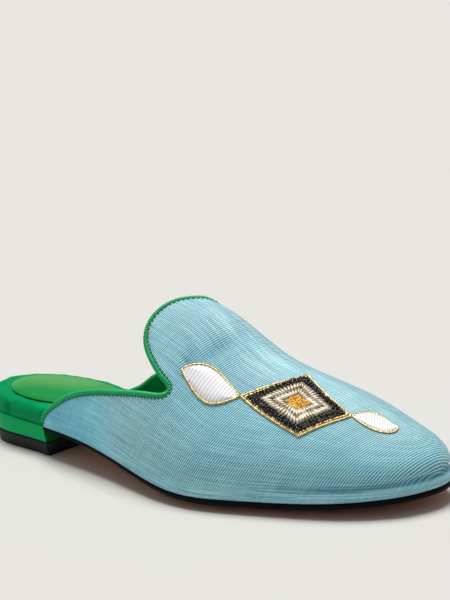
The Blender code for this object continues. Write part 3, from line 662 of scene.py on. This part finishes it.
def ribbed_cloth():
    """Ribbed silk blend: cords across the shoe under fine warp threads, some cords thicker or paler.

    The ribs lie flatter over the quarter, along the feather line and on the crest, where the cloth is pulled
    tight. Painted shade darkens the cloth in the creases, and a painted highlight makes it paler towards the
    crest.
    """
    sheen = {"Sheen_Weight": 0.60, "Sheen_Roughness": 0.26, "Sheen_Tint": (0.92, 0.97, 1.0, 1.0)}
    material, place = finish_of("ribbed_fabric", Specular_IOR_Level=0.08, **sheen)
    cloth = place.node("ShaderNodeUVMap", {"uv_map": "cloth"})[0]
    fold = place.node("ShaderNodeAttribute", {"attribute_name": "fold"})[2]
    along, across, _none = cloth.parts()
    x, _y, _z = place.parts()
    wander = cloth.stretched((60.0, 16.0, 1.0)).noise(1.0, 3.0) - 0.5
    cord = (along * (1000.0 * 2 * math.pi) + wander * 0.7).sine() * 0.5 + 0.5
    slub = cloth.stretched((520.0, 22.0, 1.0)).noise(1.0, 3.0, 0.65)
    streak = cloth.stretched((36.0, 1300.0, 1.0)).noise(1.0, 3.0, 0.60).between(0.38, 0.68)
    patch = place.noise(55.0, 3.0)
    warp = (across * (3300.0 * 2 * math.pi)).sine() * 0.5 + 0.5
    quarter = x.between(-0.045, 0.010) * 0.78 + 0.22
    toe = x.between(0.030, 0.075)
    bottom = across.between(0.003, 0.012) * (1 - toe) + across.between(0.0095, 0.0200) * toe
    crest = (CLOTH_HALF_WIDTH - across).between(0.0, 0.020) * 0.5 + 0.5
    tight = quarter * (bottom * 0.72 + 0.28 - toe * 0.20 * (1 - bottom)) * crest
    side, crown = x.between(-0.050, 0.0), across.between(0.040, 0.088)
    fibre = (streak - 0.5) * (side * 0.22 + 0.14)
    # Painted shade: the tone darkens with each point's depth in a crease (fold).
    tone = (cord - 0.5) * 0.86 * tight + slub * 0.30 + fibre + patch * 0.26 + 0.39 - fold * 0.40
    # Painted highlight: both ends of the tone turn paler towards the crest (crown); over the quarter they
    # are bluer.
    dim = crown.blend(side.blend((0.030, 0.225, 0.420), (0.060, 0.250, 0.400)), (0.090, 0.290, 0.430))
    bright = crown.blend(side.blend((0.325, 0.865, 1.0), (0.500, 0.950, 1.0)), (0.630, 0.980, 1.0))
    height = cord * tight + slub * 0.3 + fibre * 0.7 + warp * 0.10
    return give(material, tone.between(0.14, 1.02).blend(dim, bright), 0.50 + slub * 0.25, height, 0.00030)


upper = shell("upper_fabric", 0.0, CLOTH_THICKNESS, ribbed_cloth())
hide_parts("upper")
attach(upper, "root")

# Lining
# Smooth green kid leather, bonded inside the cloth from the collar down to the footbed.
# It ends under the binding, flush with the cloth's cut edge.
LINING_START = CLOTH_THICKNESS + 0.00005
KID = leather("lining_leather", (0.0005, 0.170, 0.050), (0.001, 0.270, 0.080), 0.50, grain=1100.0)
lining = shell("upper_lining", LINING_START, UPPER_WALL, KID, 100, 44, 24)
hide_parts("upper")
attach(lining, "root")

# Collar binding
# A narrow strip of bright green leather rolled round the collar's cut edge and stitched down on the cloth.
# Pulling it round the throat's corners gathers it into fine slanting ridges.
BINDING_RADIUS, BINDING_GAP, BINDING_BITE = 0.00105, 0.0004, 0.00025
BINDING_WIDE, BINDING_THICK = 0.00128, 0.00138
RIDGE_PITCH, RIDGE_DEPTH, RIDGE_SLANT = 0.00105, 0.00016, 1.8
STITCH_PITCH, STITCH_SIZE, STITCH_LIFT, STITCH_INSET = 0.0021, (0.00125, 0.00060, 0.00042), 0.00010, 0.00030


def binding_frames(steps):
    """Points of the collar's edge from end to end, with the ways out of the cloth and off its edge."""
    lines = []
    for side in (LATERAL, MEDIAL):
        share, around, _root = collar_path(side, steps)
        edge, out = last_point(side, share, around), last_normal(side, share, around)
        lines.append((edge, out, unit(np.cross(np.gradient(edge, axis=0), out) * side)))
    return [
        np.vstack([lateral[:-1], (lateral[-1:] + medial[-1:]) / 2, medial[-2::-1]])
        for lateral, medial in zip(*lines)
    ]


def make_binding(edge, out, off):
    middle = edge - out * UPPER_WALL / 2 + off * (BINDING_RADIUS + BINDING_GAP - BINDING_BITE)
    travel = travelled(middle)
    turns = np.linspace(0, 2 * math.pi, 14, endpoint=False)
    rings = []
    for spot, o, f, at in zip(middle, out, off, travel):
        wave = np.sin(2 * math.pi * at / RIDGE_PITCH + RIDGE_SLANT * np.sin(turns))
        taper = math.sqrt(min(1.0, 0.25 + min(at, travel[-1] - at) / 0.0016))
        ring = np.cos(turns)[:, None] * f * BINDING_WIDE + np.sin(turns)[:, None] * o * BINDING_THICK
        rings.append(spot + ring * ((1 + RIDGE_DEPTH / BINDING_WIDE * wave) * taper)[:, None])
    skin = leather("binding_leather", (0.003, 0.290, 0.082), (0.014, 0.470, 0.155), 0.34, 1500.0,
                   shine=0.32, tint=(0.6, 1.0, 0.75))
    faces = skin_faces(len(rings), len(turns), flipped=True)
    return finished("collar_roll", np.vstack(rings + [middle[:1], middle[-1:]]), faces, [skin])


def along_path(path, outs, pitch):
    """Places every pitch along a path, with the path's direction and the way out of the cloth at each."""
    travel = travelled(path)
    count = max(int(travel[-1] / pitch), 1)
    at = (np.arange(count) + 0.5) * travel[-1] / count
    run = sampled(path, travel, at + 3e-4) - sampled(path, travel, at - 3e-4)
    return sampled(path, travel, at), unit(run), sampled(outs, travel, at)


def laid_along(name, places, along, out, sizes, material, shape="grain"):
    """Small things of one kind set at places, each turned along one direction and up another.

    sizes are length, width and height. A geometry tree sets one at each place, as grain, tube or ring, and
    makes the result real; what comes back is a plain mesh.
    """
    seeds = bpy.data.meshes.new(name)
    seeds.from_pydata((np.asarray(places) + STAND).tolist(), [], [])
    for label, values in (("along", along), ("out", out)):
        field = seeds.attributes.new(label, "FLOAT_VECTOR", "POINT")
        field.data.foreach_set("vector", np.asarray(values, np.float32).ravel())
    holder = bpy.data.objects.new(name + "_places", seeds)
    bpy.context.scene.collection.objects.link(holder)
    tree = bpy.data.node_groups.new(name, "GeometryNodeTree")
    labels = ("Length", "Width", "Height")
    tree.interface.new_socket("Places", in_out="INPUT", socket_type="NodeSocketGeometry")
    for label in labels:
        tree.interface.new_socket(label, in_out="INPUT", socket_type="NodeSocketFloat")
    tree.interface.new_socket("Pieces", in_out="OUTPUT", socket_type="NodeSocketGeometry")
    join = tree.links.new

    def add(kind, **values):
        made = tree.nodes.new(kind)
        for key, value in values.items():
            made.inputs[key].default_value = value
        return made

    given, size = add("NodeGroupInput"), add("ShaderNodeCombineXYZ")
    for k, label in enumerate(labels):
        join(given.outputs[label], size.inputs[k])
    if shape == "ring":
        form = add("GeometryNodeCurveToMesh")
        for label, points, radius in (("Curve", 10, 0.31), ("Profile Curve", 6, 0.19)):
            circle = add("GeometryNodeCurvePrimitiveCircle", Resolution=points, Radius=radius)
            join(circle.outputs[0], form.inputs[label])
    elif shape == "tube":
        form = add("GeometryNodeMeshCylinder", Vertices=8, Radius=0.5, Depth=1.0)
    else:
        form = add("GeometryNodeMeshUVSphere", Segments=8, Rings=6, Radius=0.5)
    turned = add("GeometryNodeTransform", Rotation=(0, math.pi / 2, 0))
    join(form.outputs[0], turned.inputs[0])
    spread = add("GeometryNodeInstanceOnPoints")
    join(given.outputs["Places"], spread.inputs["Points"])
    join(turned.outputs[0], spread.inputs["Instance"])
    join(size.outputs[0], spread.inputs["Scale"])
    turns = []
    for label, axis, pivot in (("along", "X", "AUTO"), ("out", "Z", "X")):
        field = add("GeometryNodeInputNamedAttribute", Name=label)
        align = add("FunctionNodeAlignRotationToVector")
        field.data_type = "FLOAT_VECTOR"
        align.axis = axis
        align.pivot_axis = pivot
        join(field.outputs[0], align.inputs["Vector"])
        if turns:
            join(turns[-1].outputs[0], align.inputs["Rotation"])
        turns.append(align)
    join(turns[-1].outputs[0], spread.inputs["Rotation"])
    chain = [spread, add("GeometryNodeRealizeInstances"), add("GeometryNodeSetShadeSmooth")]
    chain += [add("GeometryNodeSetMaterial", Material=material), add("NodeGroupOutput")]
    for first, second in zip(chain, chain[1:]):
        join(first.outputs[0], second.inputs[0])
    modifier = holder.modifiers.new("laid", "NODES")
    modifier.node_group = tree
    sockets = {item.name: item.identifier for item in tree.interface.items_tree if item.in_out == "INPUT"}
    for label, value in zip(labels, sizes):
        modifier[sockets[label]] = value
    graph = bpy.context.evaluated_depsgraph_get()
    mesh = bpy.data.meshes.new_from_object(holder.evaluated_get(graph))
    mesh.name = name
    holder.modifiers.remove(modifier)
    bpy.data.objects.remove(holder)
    piece = bpy.data.objects.new(name, mesh)
    bpy.context.scene.collection.objects.link(piece)
    return piece


def mottled(name, grain, span, dark, light, rough, swing, depth=0.0, stretch=(1.0, 1.0, 1.0), **fixed):
    """Stuff whose tone, gloss and surface follow one noise; grain is its scale, detail and roughness."""
    material, place = finish_of(name, **fixed)
    noise = place.stretched(stretch).noise(*grain)
    share = noise.between(*span) if span else noise
    return give(material, share.blend(dark, light), rough + noise * swing, noise if depth else None, depth)


edge, out, off = binding_frames(760)
binding = make_binding(edge, out, off)
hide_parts("collar_binding")
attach(binding, "root")

THREAD = mottled("binding_thread", (2600.0, 2.0), (0.3, 0.7), (0.0005, 0.018, 0.014), (0.002, 0.045, 0.030),
                 0.45, 0.15, 0.00008, Sheen_Weight=0.2, Sheen_Roughness=0.4)
stitch_line = along_path(edge + out * STITCH_LIFT - off * STITCH_INSET, out, STITCH_PITCH)
binding_stitches = laid_along("collar_stitches", *stitch_line, STITCH_SIZE, THREAD)
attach(binding_stitches, "root")

# Leaves
# Two leaves of hand embroidery on the vamp, one on each side of the lozenge: rows of white floss over a pad,
# edged with couched gold cord and worked before lasting. The design is a plain geometric one.
MOTIF_SHARE, MOTIF_AROUND, MOTIF_TURN, MOTIF_EDGE = 0.762, 0.780, math.radians(17.0), 0.0006
LOZENGE_LENGTH, LOZENGE_WIDTH = 0.050, 0.038
LEAF_LENGTH, LEAF_WIDTH, LEAF_GAP, LEAF_BLUNT = 0.025, 0.0135, 0.0010, 0.06
LEAF_DISTANCE = LOZENGE_LENGTH / 2 + LEAF_GAP + LEAF_LENGTH / 2
FLOSS_PITCH, FLOSS_DEPTH, FLOSS_SLANT = 0.00125, 0.00011, math.radians(24)
CORD_SIZE, CORD_PITCH, CORD_LIFT, CORD_SLANT = (0.0017, 0.00075, 0.00075), 0.00062, 0.00045, 0.62


def on_vamp(flat, lift):
    """Places above the vamp at rows of flat distances from the motif's middle, and the way out there."""
    nudge = 5e-3
    along, across = np.asarray(flat, float).T
    here, ahead, over = (
        last_point(LATERAL, np.array([MOTIF_SHARE + a]), np.array([MOTIF_AROUND + b]))
        for a, b in ((0, 0), (nudge, 0), (0, nudge))
    )
    share, around = spun(along, across, MOTIF_TURN)
    share = MOTIF_SHARE + share * nudge / np.linalg.norm(ahead - here)
    around = MOTIF_AROUND + around * nudge / np.linalg.norm(over - here)
    near = (around <= 1)[:, None]
    around = np.where(near[:, 0], around, 2 - around)
    spot = np.where(near, last_point(LATERAL, share, around), last_point(MEDIAL, share, around))
    out = np.where(near, last_normal(LATERAL, share, around), last_normal(MEDIAL, share, around))
    return spot + out * np.broadcast_to(lift, len(out))[:, None], out


def cord_round(name, loop, material):
    """Twisted cord laid along a flat line on the vamp: short slanting turns, two plies thick."""
    spots, run, out = along_path(*on_vamp(loop, CORD_LIFT), CORD_PITCH)
    slant = run * math.cos(CORD_SLANT) + np.cross(out, run) * math.sin(CORD_SLANT)
    return laid_along(name, spots, slant, out, CORD_SIZE, material)


def swollen(name, columns, rows, flat_place, low, high, material, floss=None):
    """A low raised patch on the vamp, closed underneath; floss gives its pitch, depth and slant."""
    p, q = (grid.ravel() for grid in np.meshgrid(
        np.linspace(0, 1, columns + 1), np.linspace(0, 1, rows + 1), indexing="ij"
    ))
    flat = np.column_stack(flat_place(p, q))
    swell = 1 - np.maximum(abs(2 * p - 1), abs(2 * q - 1)) ** 4
    laid = flat
    if floss is not None:
        pitch, depth, slant = floss
        laid = np.column_stack(spun(*flat.T, slant))
        swell = swell + depth / high * (np.abs(np.cos(math.pi * laid[:, 0] / pitch)) ** 0.7 - 1)
    under, _out = on_vamp(flat, low)
    over, _out = on_vamp(flat, low + MOTIF_EDGE * 0.5 + high * swell)
    ids = np.arange(len(flat)).reshape(columns + 1, rows + 1)
    rim = np.concatenate([ids[:-1, 0], ids[-1, :-1], ids[:0:-1, -1], ids[0, ::-1]])
    faces = quads(ids.T, True) + quads(ids.T + len(flat)) + quads(np.array([rim, rim + len(flat)]))
    return finished(name, np.vstack([under, over]), faces, [material], uv=np.vstack([laid, laid]))


def metal_thread(name, dark, light, rough, scale=1500.0, metal=0.85):
    """Metallic thread or glass over foil: bright, with fine uneven glints."""
    return mottled(name, (scale, 2.0), (0.3, 0.7), dark, light, rough, 0.25, 0.00008,
                   Metallic=metal, Coat_Weight=0.25, Coat_Roughness=0.2)


def satin_stitch():
    """White floss, with painted shade down between its strands."""
    material, place = finish_of("satin_stitch", Sheen_Weight=0.35, Sheen_Roughness=0.3)
    cloth = place.node("ShaderNodeUVMap", {"uv_map": "cloth"})[0]
    lie = cloth.stretched((5200.0, 120.0, 1.0)).noise(1.0, 2.0)
    strand, _along, _none = cloth.parts()
    gap_shade = (strand * (math.pi / FLOSS_PITCH)).sine() ** 2.0
    # Painted shade: the grey end of the tone falls in the gaps between strands.
    tone = (gap_shade.between(1.0, 0.80) * 0.85 + lie * 0.15).blend((0.46, 0.47, 0.53), (0.86, 0.86, 0.89))
    return give(material, tone, 0.36 + lie * 0.15, lie, 0.00004)


def leaf_half(p):
    """Half the leaf's width at a share of its length."""
    return LEAF_WIDTH / 2 * (LEAF_BLUNT + (1 - LEAF_BLUNT) * np.sin(math.pi * p))


def make_leaf(which, shift):
    """A padded leaf under rows of floss laid side by side across it, edged with cord."""
    def flat_place(p, q):
        return shift + (p - 0.5) * LEAF_LENGTH * 0.98, (2 * q - 1) * leaf_half(p) * 0.95

    floss = (FLOSS_PITCH, FLOSS_DEPTH, FLOSS_SLANT)
    leaf = swollen("leaf_" + which, 170, 26, flat_place, 0.0001, 0.0010, SATIN, floss)
    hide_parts("motif_leaf_" + which)
    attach(leaf, "root")
    p = np.linspace(0, 1, 90)
    side = np.column_stack([shift + (p - 0.5) * LEAF_LENGTH, leaf_half(p)])
    border = cord_round("leaf_cord_" + which, np.vstack([side, (side * (1, -1))[::-1], side[:1]]), GOLD)
    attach(border, "root")


GOLD = metal_thread("gold_thread", (0.330, 0.215, 0.060), (0.920, 0.740, 0.370), 0.30)
SATIN = satin_stitch()
make_leaf("rear", -LEAF_DISTANCE)
make_leaf("front", LEAF_DISTANCE)

# Lozenge
# Gold cord outside, then three rings of black seed beads, then bands of silver-lined bugle beads with a core
# of gold purl in the middle, all sewn through the cloth.
JET_PITCH, JET_SIZE = 0.00152, (0.0015, 0.0017, 0.0017)
JET_ROWS = ((0.885, 0.0010), (0.812, 0.0015), (0.740, 0.0011))  # share of the full size, lift
JET_SHIFT, JET_TILT = 0.00016, 0.40
BUGLE_START, BUGLE_PITCH, BUGLE_SIZE = 0.0008, 0.00178, (0.0034, 0.00130, 0.00130)
BUGLE_BANDS = ((0.685, 0.475), (0.460, 0.270))  # outer and inner share of the full size
BUGLE_TILT = 0.05
PURL_LIFT, PURL_TILT, PURL_SIZE = 0.0010, 0.45, (0.0016, 0.0007, 0.0007)
JET = mottled("jet_bead", (700.0, 1.0), (0.3, 0.7), (0.004, 0.004, 0.006), (0.020, 0.020, 0.026), 0.10, 0.15,
              Coat_Weight=0.6, Coat_Roughness=0.06)
BUGLE = metal_thread("bugle_bead", (0.50, 0.42, 0.29), (0.92, 0.85, 0.71), 0.34, 300.0, 0.50)
PURL = metal_thread("gold_purl", (0.300, 0.120, 0.012), (0.780, 0.430, 0.070), 0.32, 1900.0)
GROUND = mottled("motif_ground", (900.0, 3.0), None, (0.05, 0.035, 0.012), (0.15, 0.10, 0.035),
                 0.8, 0.0, 0.0001)


def lozenge_ring(scale, steps=40):
    """Flat outline of a lozenge at a share of the full size."""
    corners = np.array([(1, 0), (0, 1), (-1, 0), (0, -1), (1, 0)])
    corners = corners * (LOZENGE_LENGTH / 2, LOZENGE_WIDTH / 2) * scale
    t = np.linspace(0, 1, steps, endpoint=False)[:, None]
    return np.vstack([a + (b - a) * t for a, b in zip(corners, corners[1:])] + [corners[:1]])


def lozenge_place(p, q):
    return (p - q) * LOZENGE_LENGTH * 0.485, (p + q - 1) * LOZENGE_WIDTH * 0.485


def put(piece):
    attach(piece, "root")


ground = swollen("lozenge_ground", 40, 40, lozenge_place, 0.0001, 0.0003, GROUND)
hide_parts("motif_lozenge")
put(ground)
put(cord_round("lozenge_cord", lozenge_ring(1.0), GOLD))
put(cord_round("lozenge_inner_cord", lozenge_ring(0.93), GOLD))
chance = np.random.default_rng(7)
for n, (scale, lift) in enumerate(JET_ROWS):
    spots, run, out = along_path(*on_vamp(lozenge_ring(scale), lift), JET_PITCH)
    spots = spots + chance.normal(0, JET_SHIFT, spots.shape)
    run = unit(run + chance.normal(0, JET_TILT, run.shape))
    put(laid_along(f"jet_row_{n + 1}", spots, run, out, JET_SIZE, JET, "ring"))
bands = []
for outer, inner in BUGLE_BANDS:
    ring, core = lozenge_ring(outer, 60), lozenge_ring(inner, 60)
    travel = travelled(ring)
    at = np.arange(BUGLE_START, travel[-1], BUGLE_PITCH)
    start, out = on_vamp(sampled(ring, travel, at), 0.0009)
    stop, _out = on_vamp(sampled(core, travel, at), 0.0011)
    run = unit(stop - start)
    bands.append(((start + stop) / 2, run + chance.normal(0, BUGLE_TILT, run.shape), out))
put(laid_along("bugle_rows", *(np.vstack(rows) for rows in zip(*bands)), BUGLE_SIZE, BUGLE, "tube"))
flat = np.vstack([lozenge_ring(scale, max(2, int(60 * scale))) for scale in np.arange(0.01, 0.25, 0.030)])
place, out = on_vamp(flat, PURL_LIFT)
ahead, _out = on_vamp(flat + (0.0004, 0.0002), PURL_LIFT)
run = unit(ahead - place)
run = unit(run + chance.normal(0, PURL_TILT, run.shape))
put(laid_along("gold_core", place, run, out, PURL_SIZE, PURL))

# Outsole
# Thin leather sole, stuck on from the heel's breast to the toe: natural tan underneath, its cut edge dyed
# black.
OUTSOLE_THICKNESS, WAIST_THICKNESS, SOLE_MARGIN, TREAD_INSET = 0.0022, 0.0013, 0.0005, 0.0110
HEEL_LENGTH, HEEL_TAPER, TOP_PIECE_THICKNESS = 0.0515, 0.0017, 0.0060
# At shares of the length: how far the sole is thinned to the waist's thickness, how far its tread is crowned
WAIST_THINNING = ((0.20, 1.0), (0.42, 1.0), (0.62, 0.0), (1.00, 0.0))
TREAD_CROWN = ((0.45, 0.2), (0.60, 1.0), (0.80, 1.0), (1.00, 0.3))


def share_at(side, x):
    """The share of the way at which the outline passes a distance from the heel back."""
    return float(np.interp(x, SIDES[side][:, 0], TRAVEL[side] / TRAVEL[side][-1]))


def sole_bottom(x):
    """Height of the outsole's lower edge: thinner at the waist than under the ball."""
    waist = np.interp(x / SHOE_LENGTH, *zip(*WAIST_THINNING))
    return seam_height(x) - OUTSOLE_THICKNESS + waist * (OUTSOLE_THICKNESS - WAIST_THICKNESS)


def tread(x, y):
    """The tread face, crowned to a flat spot under the ball."""
    crown = np.interp(x / SHOE_LENGTH, *zip(*TREAD_CROWN))
    return np.maximum(0.0, sole_bottom(x) - crown * (BALL_HEIGHT - OUTSOLE_THICKNESS))


def tread_leather():
    """Tan sole leather, polished along its fibres, with slow scuffs."""
    material, place = finish_of("tread_leather", Coat_Weight=0.15, Coat_Roughness=0.35)
    fibre = place.stretched((140.0, 420.0, 300.0)).noise(1.0, 4.0, 0.65)
    scuff = place.noise(90.0, 4.0, 0.7)
    tone = (fibre * 0.6 + scuff * 0.5).between(0.3, 0.8).blend((0.500, 0.150, 0.040), (0.700, 0.265, 0.082))
    return give(material, tone, 0.38 + scuff * 0.25, fibre, 0.00012)


def make_outsole():
    breast = HEEL_LENGTH + FIT_GAP
    edges = {}
    for side in (LATERAL, MEDIAL):
        start = share_at(side, breast)
        shares = start + (1 - start) * even_steps(180, 0.0, 0.75)
        edges[side] = inset_edge(side, shares, -SOLE_MARGIN)
        edges[side][0, 0] = breast

    def top(x, y):
        return seam_height(x)

    rings = (
        (None, tread),
        (TREAD_INSET * 1.8, tread),
        (TREAD_INSET, tread),
        (0.0060, lambda x, y: tread(x, y) * 0.45 + (sole_bottom(x) - 0.0002) * 0.55),
        (0.0012, lambda x, y: sole_bottom(x) - 0.0002),
        (0.0004, lambda x, y: sole_bottom(x)),
        (0.0, lambda x, y: sole_bottom(x) + 0.0005),
        (-0.0001, lambda x, y: (sole_bottom(x) + seam_height(x)) / 2),
        (0.0, lambda x, y: seam_height(x) - 0.0003),
        (0.0004, top),
        (0.004, top),
        (None, top),
    )
    dark, light = (0.0015, 0.0020, 0.0035), (0.006, 0.007, 0.009)
    black = mottled("dyed_edge", (420.0, 4.0, 0.6), (0.3, 0.75), dark, light, 0.36, 0.25, 0.00010,
                    (1.0, 1.0, 6.0), Specular_IOR_Level=0.05)
    skins = [0, 0, 0, 0, 1, 1, 1, 1, 1, 1, 0]
    return plate("outsole_leather", rings, edges, (0, 0.020), [tread_leather(), black], skins, blunt=0)


outsole = make_outsole()
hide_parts("outsole")
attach(outsole, "root")

# Heel
# A low stacked block wrapped in satin green leather, nailed on from inside, with a black rubber top piece.
# Both taper a little towards the ground, and the breast is cut straight.
# The breast's face is painted shade: a much darker copy of the green leather.
WRAP_GREEN, WRAP_BRIGHT = (0.001, 0.380, 0.108), (0.002, 0.480, 0.145)
# The breast's colours are the wrap's green darkened as painted shade.
BREAST_SHADE_GREEN, BREAST_SHADE_PALE = (0.0005, 0.060, 0.014), (0.001, 0.110, 0.026)
WRAP = leather("heel_leather", WRAP_GREEN, WRAP_BRIGHT, 0.38, 1400.0, 0.00002, 0.03)
SHADED_BREAST = leather("breast_painted_shade", BREAST_SHADE_GREEN, BREAST_SHADE_PALE, 0.45, 1400.0, 0.00002, 0.10)
RUBBER = mottled("black_rubber", (320.0, 4.0, 0.6), (0.35, 0.8), (0.006, 0.006, 0.009),
                 (0.020, 0.020, 0.026), 0.42, 0.25, 0.00006, Specular_IOR_Level=0.18)


def heel_slab(name, low, high, low_inset, high_inset, round_off, materials):
    """One layer of the heel between two heights, each with its distance in from the outline."""
    edges = {}
    for side in (LATERAL, MEDIAL):
        shares = share_at(side, HEEL_LENGTH) * even_steps(72, 0.5, 0.0)
        edges[side] = inset_edge(side, shares, 0.0)
        edges[side][-1, 0] = HEEL_LENGTH
    rings = (
        (None, low),
        (low_inset + 0.0040, low),
        (low_inset + round_off, low),
        (low_inset + round_off * 0.3, lambda x, y: low(x, y) + round_off * 0.3),
        (low_inset, lambda x, y: low(x, y) + round_off),
        ((low_inset + high_inset) / 2, lambda x, y: (low(x, y) + high(x, y)) / 2),
        (high_inset, lambda x, y: high(x, y) - round_off),
        (high_inset + round_off * 0.3, lambda x, y: high(x, y) - round_off * 0.3),
        (high_inset + round_off, high),
        (high_inset + 0.0040, high),
        (None, high),
    )
    skins = [0] * (len(rings) - 1)
    return plate(name, rings, edges, (0.016, 0), materials, skins, blunt=-1, end_material=len(materials) - 1)


def level(height):
    return lambda x, y: np.full_like(x, height)


split = HEEL_TAPER * (1 - TOP_PIECE_THICKNESS / SEAT_HEIGHT)
heel = heel_slab("heel_cover", level(TOP_PIECE_THICKNESS + FIT_GAP), lambda x, y: seam_height(x),
                 split, 0.0, 0.0005, [WRAP, SHADED_BREAST])
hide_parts("heel_block")
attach(heel, "root")
top_piece = heel_slab("top_piece", level(0.0), level(TOP_PIECE_THICKNESS),
                      HEEL_TAPER, split, 0.0004, [RUBBER])
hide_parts("heel_top_piece")
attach(top_piece, "root")

# Floor, light and camera
# Pale seamless paper under broad soft light from above and behind; the camera stands off the toe's outer
# side.
bpy.ops.mesh.primitive_grid_add(x_subdivisions=2, y_subdivisions=2, size=16.0)
floor = bpy.context.object
floor.name = "studio_floor"
PAPER = mottled("pale_paper", (60.0, 3.0), None, (0.578, 0.573, 0.545), (0.592, 0.587, 0.559), 0.75, 0.1,
                Specular_IOR_Level=0.2)
floor.data.materials.append(PAPER)

bpy.context.scene.view_settings.view_transform = "Standard"
world = bpy.data.worlds.new("studio")
bpy.context.scene.world = world
world.use_nodes = True
world.node_tree.nodes["Background"].inputs[0].default_value = (0.98, 0.99, 1.0, 1)
world.node_tree.nodes["Background"].inputs[1].default_value = 0.30


def sun(name, power, spread, azimuth, elevation, colour):
    """A broad light from far off, from a compass direction in the shoe's frame and a height in degrees."""
    lamp = bpy.data.lights.new(name, "SUN")
    lamp.energy, lamp.angle, lamp.color = power, math.radians(spread), colour
    holder = bpy.data.objects.new(name, lamp)
    bpy.context.scene.collection.objects.link(holder)
    a, e = math.radians(azimuth), math.radians(elevation)
    back = Vector((math.sin(a) * math.cos(e), -math.cos(a) * math.cos(e), math.sin(e)))
    holder.rotation_euler = back.to_track_quat("Z", "Y").to_euler()


sun("key_light", 3.45, 32, 230, 77, (1.0, 0.99, 0.97))
sun("fill_light", 0.12, 60, 300, 40, (0.97, 0.99, 1.0))

CAMERA_PLACE = Vector((0.906353, -0.746032, 0.329246)) + Vector(STAND)
CAMERA_TARGET = Vector((0.149297, 0.0, 0.077602)) + Vector(STAND)
CAMERA_ROLL, FOCAL_PIXELS, PICTURE_HEIGHT = math.radians(-4.787), 2598.022, 600
lens = bpy.data.cameras.new("camera")
lens.sensor_width = 36.0
lens.lens = FOCAL_PIXELS * lens.sensor_width / PICTURE_HEIGHT
lens.clip_end = 30
camera = bpy.data.objects.new("camera", lens)
bpy.context.scene.collection.objects.link(camera)
turn = (CAMERA_PLACE - CAMERA_TARGET).to_track_quat("Z", "Y").to_matrix().to_4x4()
camera.matrix_world = Matrix.Translation(CAMERA_PLACE) @ turn @ Matrix.Rotation(CAMERA_ROLL, 4, "Z")
bpy.context.scene.camera = camera
